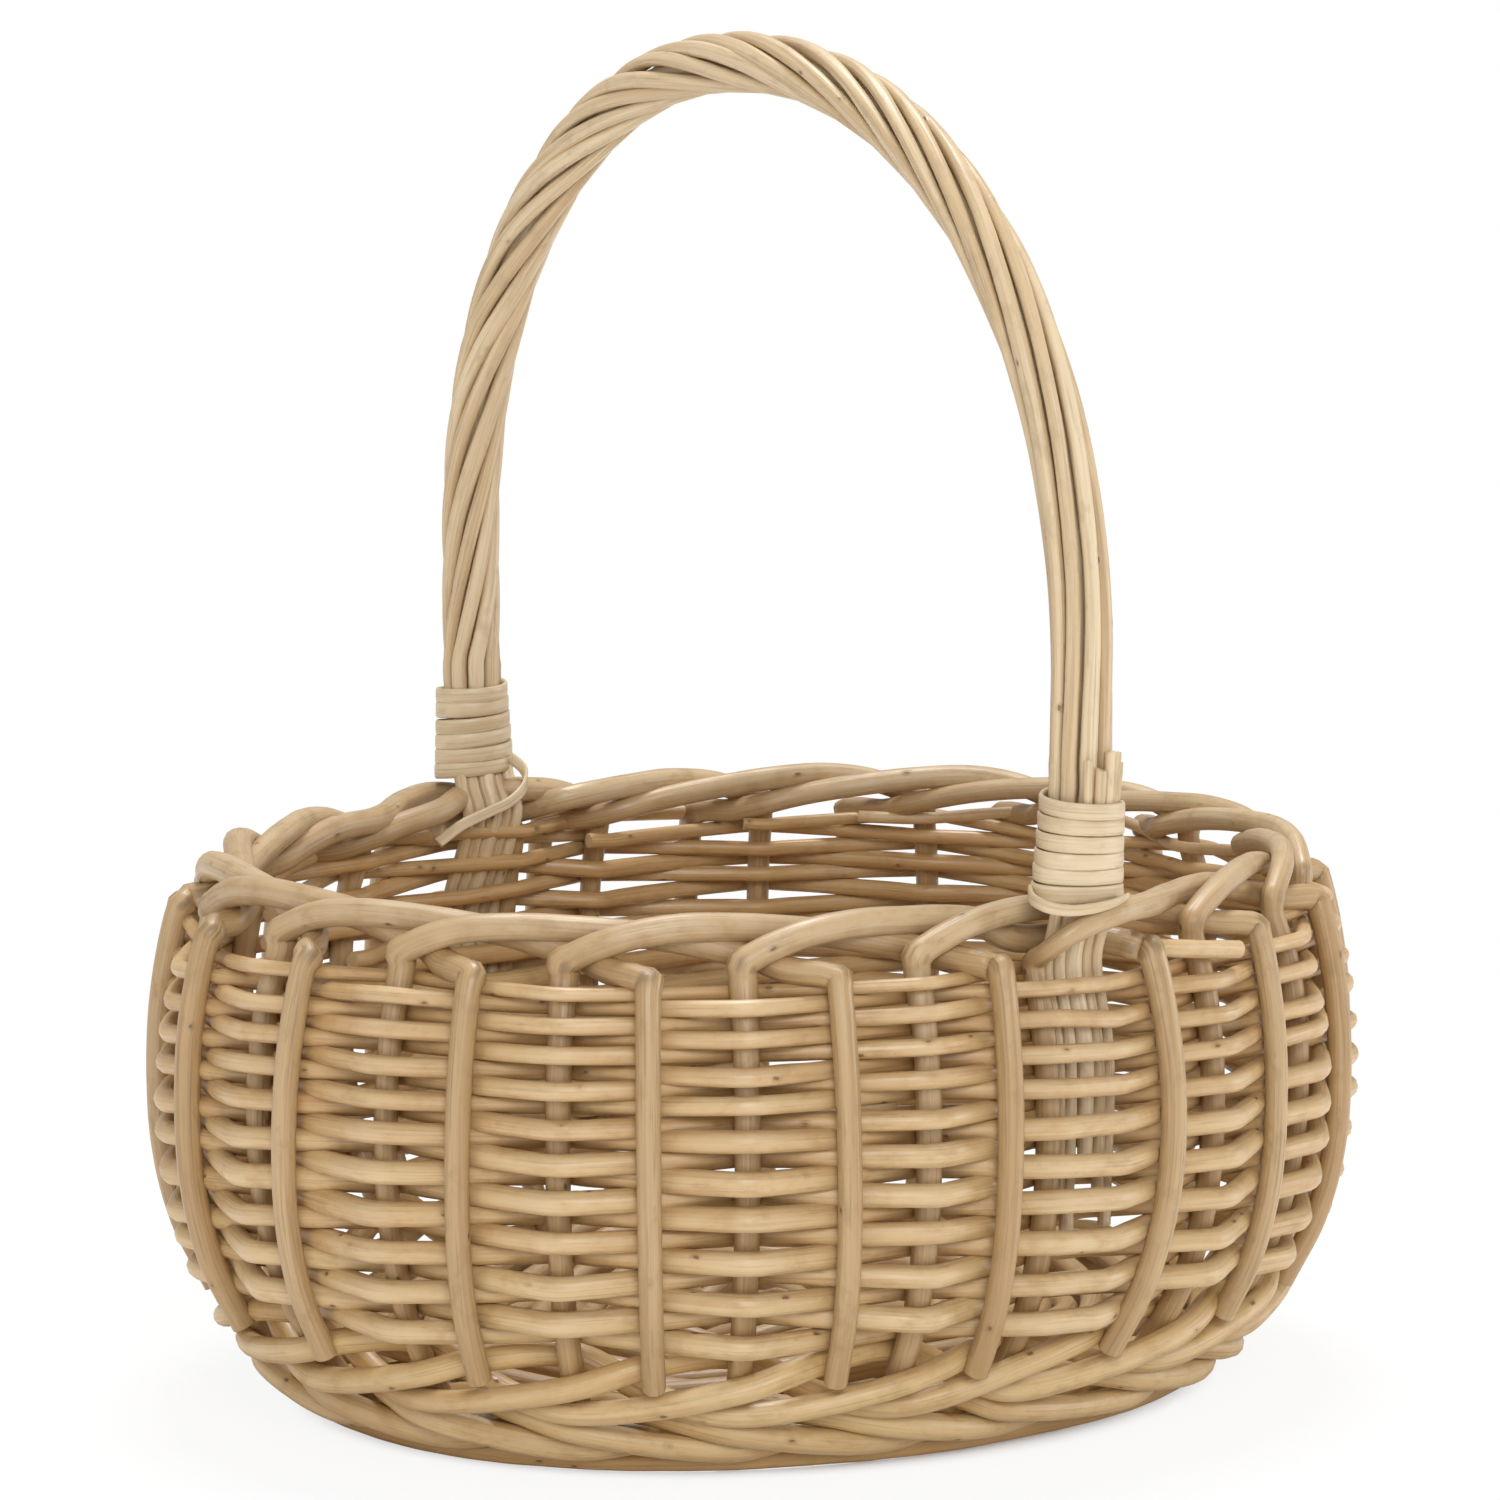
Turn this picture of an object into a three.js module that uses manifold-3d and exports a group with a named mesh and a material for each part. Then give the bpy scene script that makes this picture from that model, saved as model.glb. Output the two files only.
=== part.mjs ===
// Oval willow basket with a rolled border, outer ribs and a roped bow handle.
// Millimetres, +Z up, X along the length, origin under the middle of the base.
import * as THREE from 'three';
import Module from 'manifold-3d';

const wasm = await Module();
wasm.setup();

// Body: an oval wall that swells to a belly and draws in to the base and to the rim
const STAKES = 20;
const HALF_LENGTH = 126.8;
const HALF_WIDTH = 109.4;
const OVAL_POWER = 2.1;
const BELLY_Z = 72.5;
const BASE_INSET = 34.5;
const BASE_CURVE = 2.4;
const RIM_Z = 108.5;
const RIM_INSET = 6.6;
const GAP = 0.3;

// Rods
const STAKE_R = 2.6;
const TOE_LENGTH = 14;
const TOE_BEND = 2.2;
const ROWS = 20;
const FIRST_ROW_Z = 32.6;
const LOW_PITCH = 4.3;
const HIGH_PITCH = 2.85;
const WALE_R = 2.25;
const WALE_STEP = 5.5;
const WALE_ROUNDS = 2;
const FOOT_ROD_Z = 5.2;

// Bow handle
const HANDLE_INSET = 2.4;
const HANDLE_HALF_SPAN = HALF_WIDTH - HANDLE_INSET;
const HANDLE_SPRING_Z = 166;
const HANDLE_TOP_Z = 280.5;
const HANDLE_R = 6.5;
const ARCH_POWER = 2.08;
const ROPE_RODS = 8;
const ROPE_TURNS = 3.25;
const FAN_ROD_R = 1.3;
const FAN_CORE_R = 2;

// Cane bindings at the two handle feet
const CANE_WIDTH = 2.9;
const CANE_THICK = 1;
const CANE_PITCH = 3.4;
const CANE_LOOPS = 6;
const CANE_LOW_Z = 117.2;
const CANE_HIGH_Z = CANE_LOW_Z + CANE_LOOPS * CANE_PITCH;

// Woven base
const BASE_STICK_R = 2;
const BASE_WEAVER_R = 2;
const BASE_PITCH = 4.5;
const BASE_EDGE = BASE_INSET - TOE_BEND;
const LONG_STICK_Y = 2.6;
const CROSS_STICK_X = 9;

const SIDES = 5;
const TURN = Math.PI * 2;

// The oval is walked by length, so every stake stands the same distance from the next
const oval = [];
const OVAL_STEPS = 1440;
for (let i = 0; i <= OVAL_STEPS; i += 1) {
  const angle = -Math.PI / 2 + TURN * i / OVAL_STEPS;
  const c = Math.cos(angle);
  const s = Math.sin(angle);
  const x = HALF_LENGTH * Math.sign(c) * Math.abs(c) ** (2 / OVAL_POWER);
  const y = HALF_WIDTH * Math.sign(s) * Math.abs(s) ** (2 / OVAL_POWER);
  const last = oval[i - 1];
  oval.push({ x, y, length: last ? last.length + Math.hypot(x - last.x, y - last.y) : 0 });
}
const GIRTH = oval[OVAL_STEPS].length;
const STAKE_SPACE = GIRTH / STAKES;

function ovalAt(place) {
  const wanted = ((place / STAKES) % 1 + 1) % 1 * GIRTH;
  let low = 0;
  let high = OVAL_STEPS;
  while (high - low > 1) {
    const middle = (low + high) >> 1;
    if (oval[middle].length > wanted) {
      high = middle;
    } else {
      low = middle;
    }
  }
  const a = oval[low];
  const b = oval[high];
  const f = (wanted - a.length) / (b.length - a.length);
  return [a.x + (b.x - a.x) * f, a.y + (b.y - a.y) * f];
}

// A point given by its place along the girth (in stakes), its distance outside the belly line and its height
function at(place, out, z) {
  const [x, y] = ovalAt(place);
  const ahead = ovalAt(place + 0.1);
  const behind = ovalAt(place - 0.1);
  const along = new THREE.Vector2(ahead[0] - behind[0], ahead[1] - behind[1]).normalize();
  return new THREE.Vector3(x + along.y * out, y - along.x * out, z);
}

function wallInset(z) {
  if (z < BELLY_Z) {
    return -BASE_INSET * ((BELLY_Z - z) / BELLY_Z) ** BASE_CURVE;
  }
  return -RIM_INSET * ((z - BELLY_Z) / (RIM_Z - BELLY_Z)) ** 2;
}

function wallSlope(z) {
  return (wallInset(z + 0.05) - wallInset(z - 0.05)) / 0.1;
}

// A point on the wall, moved off it along the wall's own normal
function onWall(place, z, off) {
  const slope = wallSlope(z);
  const lean = Math.hypot(1, slope);
  return at(place, wallInset(z) + off / lean, z - off * slope / lean);
}

// Height of the wall point that lies a given length up the wall from a starting height
function upWall(startZ, length) {
  let z = startZ;
  for (let walked = 0; walked < length; walked += 0.1) {
    z += 0.1 / Math.hypot(1, wallSlope(z));
  }
  return z;
}

// A rod of straight-sided section through a row of points, closed into a ring or capped at its ends
function rod(points, radius, { sides = SIDES, ring = false, up = null, flat = null } = {}) {
  const count = points.length;
  const radii = Array.isArray(radius) ? radius : points.map(() => radius);
  const tangents = points.map((point, i) => {
    const before = points[ring ? (i + count - 1) % count : Math.max(i - 1, 0)];
    const after = points[ring ? (i + 1) % count : Math.min(i + 1, count - 1)];
    const into = point.clone().sub(before).normalize();
    const outOf = after.clone().sub(point).normalize();
    return into.add(outOf).normalize();
  });
  const corners = [];
  let carried = (up || new THREE.Vector3(0, 0, 1)).clone();
  for (let i = 0; i < count; i += 1) {
    const reference = ring ? new THREE.Vector3(0, 0, 1) : carried;
    const side = new THREE.Vector3().crossVectors(tangents[i], reference).normalize();
    const rise = new THREE.Vector3().crossVectors(side, tangents[i]).normalize();
    carried = rise;
    for (let k = 0; k < sides; k += 1) {
      const corner = flat
        ? flat[k]
        : [Math.sin(TURN * k / sides), Math.cos(TURN * k / sides)];
      const [across, over] = corner;
      corners.push(points[i].clone()
        .addScaledVector(side, across * radii[i])
        .addScaledVector(rise, over * radii[i]));
    }
  }
  const faces = [];
  const spans = ring ? count : count - 1;
  for (let i = 0; i < spans; i += 1) {
    const here = i * sides;
    const next = ((i + 1) % count) * sides;
    for (let k = 0; k < sides; k += 1) {
      const k2 = (k + 1) % sides;
      faces.push(here + k, here + k2, next + k2, here + k, next + k2, next + k);
    }
  }
  if (!ring) {
    const end = (count - 1) * sides;
    for (let k = 1; k < sides - 1; k += 1) {
      faces.push(0, k + 1, k, end, end + k, end + k + 1);
    }
  }
  const geometry = new THREE.BufferGeometry();
  const flatList = corners.flatMap((corner) => [corner.x, corner.y, corner.z]);
  geometry.setAttribute('position', new THREE.Float32BufferAttribute(flatList, 3));
  geometry.setIndex(faces);
  return outward(geometry);
}

// Turn the faces round if they look inwards
function outward(geometry) {
  const position = geometry.getAttribute('position');
  const index = geometry.getIndex().array;
  const [a, b, c] = [0, 1, 2].map(() => new THREE.Vector3());
  let volume = 0;
  for (let i = 0; i < index.length; i += 3) {
    a.fromBufferAttribute(position, index[i]);
    b.fromBufferAttribute(position, index[i + 1]);
    c.fromBufferAttribute(position, index[i + 2]);
    volume += a.dot(b.cross(c));
  }
  if (volume < 0) {
    const turned = [];
    for (let i = 0; i < index.length; i += 3) {
      turned.push(index[i], index[i + 2], index[i + 1]);
    }
    geometry.setIndex(turned);
  }
  return geometry;
}

const basket = new THREE.Group();
basket.name = 'wicker_basket';

function addPart(name, geometry, colour) {
  geometry.computeVertexNormals();
  const material = new THREE.MeshStandardMaterial({ color: colour, roughness: 0.8 });
  const mesh = new THREE.Mesh(geometry, material);
  mesh.name = name;
  basket.add(mesh);
}

const WILLOW = 0xd9b98a;
const WILLOW_DARK = 0xc9a06c;
const CANE = 0xe6d3a8;
const label = (number) => String(number).padStart(2, '0');

// At the two handle feet the stake stands aside to leave room for the handle's fanned rods
const HALF_ROUND = STAKES / 2;
const isFoot = (stake) => ((stake % HALF_ROUND) + HALF_ROUND) % HALF_ROUND === 0;
const FAN_PITCH = 2 * FAN_ROD_R + GAP;
const FAN_INNER = FAN_CORE_R + FAN_ROD_R + GAP;
const FAN_EDGE = FAN_INNER + FAN_PITCH + FAN_ROD_R;
const FOOT_SHIFT = (FAN_EDGE + GAP + STAKE_R) / STAKE_SPACE;
const stakePlace = (stake) => (isFoot(stake) ? stake - FOOT_SHIFT : stake);

// Heights and thicknesses of the weaving rows, thick at the belly and fine at the rim
const rows = [];
let rowZ = FIRST_ROW_Z;
for (let k = 0; k < ROWS; k += 1) {
  const pitch = LOW_PITCH + (HIGH_PITCH - LOW_PITCH) * k / (ROWS - 1);
  rows.push({ z: rowZ, radius: (pitch - GAP) / 2 });
  rowZ += pitch;
}
const topRow = rows[ROWS - 1];
const BORDER_Z = topRow.z + topRow.radius + 1.9 * STAKE_R;

// Stakes: each rises in the weave, rolls over the border past two neighbours and comes down outside as a rib
const LAY = 2 * STAKE_R + GAP;
const RIB_LIFT = STAKE_R + GAP;
const FOOT_RIB_LIFT = RIB_LIFT + 0.42 * STAKE_R;
function rowRadiusAt(z) {
  const above = rows.findIndex((row) => row.z > z);
  return above < 0 ? topRow.radius : rows[above].radius;
}
const footFlat = STAKE_R * Math.cos(Math.PI / SIDES);
const waleTop = upWall(FOOT_ROD_Z, 4.45 * WALE_STEP);
const RIB_END_Z = waleTop + 1;

// A rib lies half-way between two stakes, a little aside and further out next to a handle foot
function ribSeat(stake) {
  if (isFoot(stake + 2)) {
    return { ribPlace: stake + 2.55, ribLift: FOOT_RIB_LIFT };
  }
  if (isFoot(stake + 3)) {
    return { ribPlace: stake + 2.42, ribLift: FOOT_RIB_LIFT };
  }
  return { ribPlace: stake + 2.5, ribLift: RIB_LIFT };
}

function stakePath(stake) {
  const place = stakePlace(stake);
  const path = [
    at(place, wallInset(0) - TOE_LENGTH, footFlat),
    at(place, wallInset(0) - TOE_BEND, footFlat),
  ];
  for (const part of [0.075, 0.19, 0.335, 0.52, 0.71, 0.87]) {
    path.push(onWall(place, part * BORDER_Z, 0));
  }
  const rimLine = wallInset(RIM_Z);
  const border = (p, out, rise) => path.push(at(p, rimLine + out * LAY, BORDER_Z + rise * LAY));
  border(place, 0.15, -0.35);
  if (isFoot(stake)) {
    border(place + 0.01, 1.05, 0.1);
    border(place + 0.11, 1.6, 0.42);
    border(stake + 0.24, 1.6, 0.95);
    border(stake + 0.56, 0.5, 1.22);
  } else {
    border(place + 0.08, 0.1, 0.35);
    border(place + 0.3, -0.1, 1.0);
    border(place + 0.62, -0.5, 1.34);
  }
  border(stake + 1, -0.98, 1.3);
  border(stake + 1.5, -1.27, 0.92);
  if (isFoot(stake + 2)) {
    border(stake + 2 - FOOT_SHIFT, -1.08, 0.12);
    border(stake + 2.22, -1.05, -0.1);
    border(stake + 2.38, 0.1, -0.3);
  } else {
    border(stake + 1.86, -1.12, 0.35);
    border(stake + 2.06, -0.98, 0.02);
    border(stake + 2.26, -0.1, -0.28);
  }
  const { ribPlace, ribLift } = ribSeat(stake);
  const ribTop = BORDER_Z - 0.75 * LAY;
  path.push(at(ribPlace - 0.06, rimLine + 0.75 * LAY, BORDER_Z - 0.42 * LAY));
  for (const part of [0, 0.2, 0.42, 0.64, 0.83, 1]) {
    const z = ribTop + (RIB_END_Z - ribTop) * part;
    path.push(onWall(ribPlace, z, rowRadiusAt(z) + ribLift));
  }
  return path;
}
for (let stake = 0; stake < STAKES; stake += 1) {
  addPart(`stake_${label(stake)}`, rod(stakePath(stake), STAKE_R), WILLOW_DARK);
}

// Weaving rows: in front of one stake and behind the next, the next row the other way
rows.forEach((row, k) => {
  const points = [];
  const swing = STAKE_R + row.radius + 1.3 * GAP;
  for (let stake = 0; stake < STAKES; stake += 1) {
    const off = (stake + k) % 2 ? -swing : swing;
    if (isFoot(stake)) {
      points.push(onWall(stake - FOOT_SHIFT, row.z, off));
      points.push(onWall(stake + FOOT_SHIFT / 2, row.z, off));
    } else {
      points.push(onWall(stake, row.z, off));
    }
  }
  addPart(`weaver_row_${label(k + 1)}`, rod(points, row.radius, { ring: true }), WILLOW);
});

// Three-rod wale: each rod goes outside two stakes and behind one, climbing as it goes outside
const waleSwing = STAKE_R + WALE_R + 2.6 * GAP;
const waleHeights = [];
for (let level = 0; level <= 4 * WALE_ROUNDS + 4; level += 1) {
  waleHeights.push(upWall(FOOT_ROD_Z, WALE_STEP * (level / 2)));
}
function waleZ(level) {
  const low = Math.floor(level * 2);
  const f = level * 2 - low;
  return waleHeights[low] * (1 - f) + waleHeights[low + 1] * f;
}
const WALE_START = 11;
const WALE_CLIMB = 5;
function waleRod(first) {
  const points = [];
  const total = WALE_ROUNDS * STAKES - WALE_CLIMB;
  const push = (step, off, lift) => {
    const round = Math.floor(step / STAKES);
    const climbed = Math.max(step - round * STAKES - (STAKES - WALE_CLIMB), 0) / WALE_CLIMB;
    const level = 1.5 + 2 * (round + (round < WALE_ROUNDS - 1 ? climbed : 0)) + lift;
    const stake = WALE_START + step;
    const whole = Math.round(stake);
    const place = whole === stake ? stakePlace(whole) : stake;
    points.push(onWall(place, waleZ(level), off));
  };
  for (let step = first; step < total; step += 1) {
    const phase = (step - first) % 3;
    if (phase === 0) {
      push(step, waleSwing, -0.5);
    } else if (phase === 1) {
      push(step, waleSwing, 0.5);
      push(step + 0.5, 0, 0.5);
    } else {
      push(step, -waleSwing, 0);
      push(step + 0.5, 0, -0.5);
    }
  }
  return points;
}
['a', 'b', 'c'].forEach((letter, first) => {
  addPart(`wale_rod_${letter}`, rod(waleRod(first), WALE_R), WILLOW);
});

// The foot rod runs round the outside of the turned-up stakes and stands on the floor
const FOOT_ROD_OFF = STAKE_R + WALE_R - 3.6 * GAP;
const footPoints = [];
for (let stake = 0; stake < STAKES; stake += 1) {
  footPoints.push(onWall(stakePlace(stake), FOOT_ROD_Z, FOOT_ROD_OFF));
}
addPart('foot_rod', rod(footPoints, WALE_R, { ring: true }), WILLOW);

// Handle: a bow core with rods roped round it, held in the weave by its fanned ends
const ropeAngle = Math.PI / ROPE_RODS;
const ROPE_LEAN = 0.86;
const ropeShare = 2 * Math.sin(ropeAngle) * ROPE_LEAN;
const ROPE_R = (HANDLE_R * ropeShare - GAP) / (2 + ropeShare);
const ROPE_LINE = HANDLE_R - ROPE_R;
const CORE_R = ROPE_LINE - ROPE_R - 2.4 * GAP;
const LEG_LOW_Z = CANE_HIGH_Z + HANDLE_R;
const archRise = HANDLE_TOP_Z - HANDLE_SPRING_Z;
const bow = new THREE.CurvePath();
bow.add(new THREE.LineCurve3(
  new THREE.Vector3(0, HANDLE_HALF_SPAN, LEG_LOW_Z),
  new THREE.Vector3(0, HANDLE_HALF_SPAN, HANDLE_SPRING_Z),
));
const archPoints = [];
for (let i = 0; i <= 48; i += 1) {
  const angle = Math.PI * i / 48;
  archPoints.push(new THREE.Vector3(
    0,
    HANDLE_HALF_SPAN * Math.sign(Math.cos(angle)) * Math.abs(Math.cos(angle)) ** (2 / ARCH_POWER),
    HANDLE_SPRING_Z + archRise * Math.sin(angle) ** (2 / ARCH_POWER),
  ));
}
bow.add(new THREE.CatmullRomCurve3(archPoints));
bow.add(new THREE.LineCurve3(
  new THREE.Vector3(0, -HANDLE_HALF_SPAN, HANDLE_SPRING_Z),
  new THREE.Vector3(0, -HANDLE_HALF_SPAN, LEG_LOW_Z),
));

// Points of one foot, from the leg down: side is +1 at the back foot and -1 at the front foot.
// The four rods on the outer side fan out flat beside the core, the other four stop inside the binding.
function footPoint(side, across, out, z) {
  return new THREE.Vector3(across, side * (HANDLE_HALF_SPAN + out), z);
}
function fanPoint(side, across, z) {
  const stake = side < 0 ? 0 : HALF_ROUND;
  return onWall(stake - side * across / STAKE_SPACE, z, 0);
}
const FAN_TOP_Z = topRow.z + FAN_CORE_R;
const FAN_BEND_Z = rows[14].z;
const CORE_END_Z = rows[7].z;
const fanEndZ = (index) => rows[6 + 2 * (index % 3)].z;
const FAN_OUT = 2 * GAP;
const STOP_OUT = -FAN_ROD_R - FAN_CORE_R;
const BIND_TOP_Z = CANE_HIGH_Z + FAN_CORE_R;
const BIND_LOW_Z = CANE_LOW_Z - FAN_CORE_R;
function ropeFoot(side, angle, index) {
  const across = Math.cos(angle);
  const out = Math.sin(angle);
  const isWide = Math.abs(across) > 0.6;
  const points = [{ point: footPoint(side, across * ROPE_LINE, out * ROPE_LINE, BIND_TOP_Z), radius: ROPE_R }];
  if (out > 0) {
    const place = Math.sign(across) * (isWide ? FAN_INNER + FAN_PITCH : FAN_INNER);
    points.push({ point: footPoint(side, place, FAN_OUT, BIND_LOW_Z), radius: FAN_ROD_R });
    points.push({ point: fanPoint(side, place, FAN_TOP_Z), radius: FAN_ROD_R });
    points.push({ point: fanPoint(side, place, FAN_BEND_Z), radius: FAN_ROD_R });
    points.push({ point: fanPoint(side, place, fanEndZ(index)), radius: FAN_ROD_R * 0.9 });
  } else {
    const place = Math.sign(across) * (isWide ? 1.65 : 0.57) * FAN_PITCH;
    points.push({ point: footPoint(side, place, STOP_OUT, BIND_LOW_Z), radius: FAN_ROD_R });
  }
  return points;
}

const ARCH_STEPS = 36;
// The rope lies nearly straight at the feet and turns fastest on the way up from the back foot
const twistAt = (t) => t + 0.4 * (1 - Math.cos(TURN * t)) / TURN - 0.32 * Math.sin(TURN * t) / TURN;
function whereTwisted(wanted) {
  let low = 0;
  let high = 1;
  for (let i = 0; i < 40; i += 1) {
    const middle = (low + high) / 2;
    if (twistAt(middle) > wanted) {
      high = middle;
    } else {
      low = middle;
    }
  }
  return (low + high) / 2;
}
function bowFrame(t) {
  const point = bow.getPoint(t);
  const along = bow.getTangent(t);
  const out = along.cross(new THREE.Vector3(1, 0, 0)).normalize();
  return { point, out };
}
for (let index = 0; index < ROPE_RODS; index += 1) {
  const start = ropeAngle + TURN * index / ROPE_RODS;
  const stations = ropeFoot(1, start, index).reverse();
  for (let i = 0; i <= ARCH_STEPS; i += 1) {
    const angle = start + TURN * ROPE_TURNS * i / ARCH_STEPS;
    const { point, out } = bowFrame(whereTwisted(i / ARCH_STEPS));
    point.x += Math.cos(angle) * ROPE_LINE;
    point.addScaledVector(out, Math.sin(angle) * ROPE_LINE);
    stations.push({ point, radius: ROPE_R });
  }
  stations.push(...ropeFoot(-1, start + TURN * ROPE_TURNS, index));
  const points = stations.map((station) => station.point);
  const radii = stations.map((station) => station.radius);
  addPart(`handle_rope_rod_${index + 1}`, rod(points, radii, { up: new THREE.Vector3(0, 1, 0) }), WILLOW);
}
const coreStations = [];
for (const side of [1, -1]) {
  const leg = [
    { point: fanPoint(side, 0, CORE_END_Z), radius: FAN_CORE_R * 0.7 },
    { point: fanPoint(side, 0, FAN_BEND_Z), radius: FAN_CORE_R },
    { point: fanPoint(side, 0, FAN_TOP_Z), radius: FAN_CORE_R },
    { point: footPoint(side, 0, FAN_OUT / 2, BIND_LOW_Z), radius: FAN_CORE_R },
    { point: footPoint(side, 0, 0, BIND_TOP_Z), radius: CORE_R },
  ];
  if (side > 0) {
    coreStations.push(...leg);
    for (let i = 0; i <= 24; i += 1) {
      coreStations.push({ point: bow.getPoint(i / 24), radius: CORE_R });
    }
  } else {
    coreStations.push(...leg.reverse());
  }
}
addPart('handle_core', rod(
  coreStations.map((station) => station.point),
  coreStations.map((station) => station.radius),
  { up: new THREE.Vector3(0, 1, 0) },
), WILLOW_DARK);

// Cane bindings: one flat strand wound round each foot, its ends laid straight
const CANE_STEPS = 18;
const caneClear = 2 * GAP + CANE_THICK / 2;
const bindTop = { across: HANDLE_R + caneClear, out: HANDLE_R + caneClear, middle: 0 };
const bindFront = FAN_OUT + FAN_CORE_R;
const bindBack = STOP_OUT - FAN_ROD_R;
const bindLow = {
  across: FAN_EDGE + 3 * GAP + caneClear,
  out: (bindFront - bindBack) / 2 + 2 * GAP + caneClear,
  middle: (bindFront + bindBack) / 2,
};
const caneSection = [[-0.5, 0.5], [0.5, 0.5], [0.5, -0.5], [-0.5, -0.5]]
  .map(([across, over]) => [across * CANE_THICK, over * CANE_WIDTH]);
function caneStrand(side) {
  const points = [];
  const total = CANE_STEPS * CANE_LOOPS;
  const mix = (name, f) => bindLow[name] + (bindTop[name] - bindLow[name]) * f;
  for (let i = 0; i <= total; i += 1) {
    const angle = TURN * i / CANE_STEPS;
    const f = i / total;
    points.push(footPoint(
      side,
      Math.cos(angle) * mix('across', f),
      mix('middle', f) + Math.sin(angle) * mix('out', f),
      CANE_LOW_Z + (CANE_HIGH_Z - CANE_LOW_Z) * f,
    ));
  }
  const endRun = (end, before) => end.clone().sub(before).setLength(CANE_WIDTH).add(end);
  return [endRun(points[0], points[1]), ...points, endRun(points[total], points[total - 1])];
}
function leastLoopGap(points) {
  let least = Infinity;
  for (let i = 0; i < points.length; i += 1) {
    for (let j = i + Math.floor(CANE_STEPS / 2); j < points.length; j += 1) {
      least = Math.min(least, points[i].distanceTo(points[j]));
    }
  }
  return least - CANE_WIDTH;
}
for (const [side, name] of [[-1, 'front'], [1, 'back']]) {
  const strand = caneStrand(side);
  console.log(`${name} binding: least gap between loops ${leastLoopGap(strand).toFixed(2)} mm`);
  addPart(`cane_binding_${name}`, rod(strand, 1, { sides: 4, flat: caneSection }), CANE);
}

// Woven base: two long sticks threaded through two split cross sticks, a weaver wound out to the edge
const BASE_SWING = BASE_STICK_R + BASE_WEAVER_R + 2.5 * GAP;
const BASE_Z = 2 * STAKE_R + GAP + BASE_SWING + BASE_WEAVER_R;
const edgeX = HALF_LENGTH - BASE_EDGE;
const edgeY = HALF_WIDTH - BASE_EDGE;
const stickReach = (across, edgeAlong, edgeAcross) => (
  edgeAlong * Math.sqrt(1 - (across / edgeAcross) ** 2) + BASE_WEAVER_R
);
const basePoint = (x, y) => new THREE.Vector3(x, y, BASE_Z);
const longReach = stickReach(LONG_STICK_Y, edgeX, edgeY);
[-LONG_STICK_Y, LONG_STICK_Y].forEach((y, i) => {
  const stick = rod([basePoint(-longReach, y), basePoint(longReach, y)], BASE_STICK_R, { sides: 6 });
  addPart(`base_long_stick_${i + 1}`, stick, WILLOW_DARK);
});

function solidOf(geometry) {
  return new wasm.Manifold(new wasm.Mesh({
    numProp: 3,
    vertProperties: new Float32Array(geometry.getAttribute('position').array),
    triVerts: new Uint32Array(geometry.getIndex().array),
  }));
}
function geometryOf(solid) {
  const mesh = solid.getMesh();
  const geometry = new THREE.BufferGeometry();
  geometry.setAttribute('position', new THREE.Float32BufferAttribute(Array.from(mesh.vertProperties), 3));
  geometry.setIndex(Array.from(mesh.triVerts));
  return geometry;
}
const SPLIT_R = 1.6 * BASE_STICK_R;
const slotHigh = BASE_STICK_R + GAP;
const slotLong = LONG_STICK_Y + BASE_STICK_R + GAP;
const slotEnd = slotLong + BASE_STICK_R / 2;
const slotNeck = slotLong + 2 * BASE_STICK_R;
const slotSection = [[-1, 1], [1, 1], [1, -1], [-1, -1]].map(([x, z]) => [x * 2 * SPLIT_R, z * slotHigh]);
const crossReach = stickReach(CROSS_STICK_X, edgeY, edgeX);
[-CROSS_STICK_X, CROSS_STICK_X].forEach((x, i) => {
  const ys = [-crossReach, -slotNeck, -slotEnd, slotEnd, slotNeck, crossReach];
  const thick = [BASE_STICK_R, BASE_STICK_R, SPLIT_R, SPLIT_R, BASE_STICK_R, BASE_STICK_R];
  const stick = rod(ys.map((y) => basePoint(x, y)), thick, { sides: 6 });
  const slot = rod([basePoint(x, -slotLong), basePoint(x, slotLong)], 1, { sides: 4, flat: slotSection });
  addPart(`base_cross_stick_${i + 1}`, geometryOf(solidOf(stick).subtract(solidOf(slot))), WILLOW_DARK);
});

// The weaver is drawn in from the edge to the crossing of the sticks, a little faster along the length
const INNER_X = CROSS_STICK_X + SPLIT_R + 2.5 * BASE_WEAVER_R;
const INNER_Y = slotNeck + 3 * BASE_WEAVER_R;
const baseRounds = Math.floor((edgeY - INNER_Y) / BASE_PITCH);
const drawnX = (rounds) => edgeX - (edgeX - INNER_X) * rounds / baseRounds;
const drawnY = (rounds) => edgeY - (edgeY - INNER_Y) * rounds / baseRounds;

// Angles at which one round of the drawn-in weaver meets the eight stick ends
function spokeAngles(round) {
  const meetLong = (angle) => Math.asin(LONG_STICK_Y / drawnY(round + angle / TURN));
  const meetCross = (angle) => Math.acos(CROSS_STICK_X / drawnX(round + angle / TURN));
  return [
    meetLong(0),
    meetCross(Math.PI / 2),
    Math.PI - meetCross(Math.PI / 2),
    Math.PI - meetLong(Math.PI),
    Math.PI + meetLong(Math.PI),
    Math.PI + meetCross(1.5 * Math.PI),
    TURN - meetCross(1.5 * Math.PI),
    TURN - meetLong(TURN),
  ];
}

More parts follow.
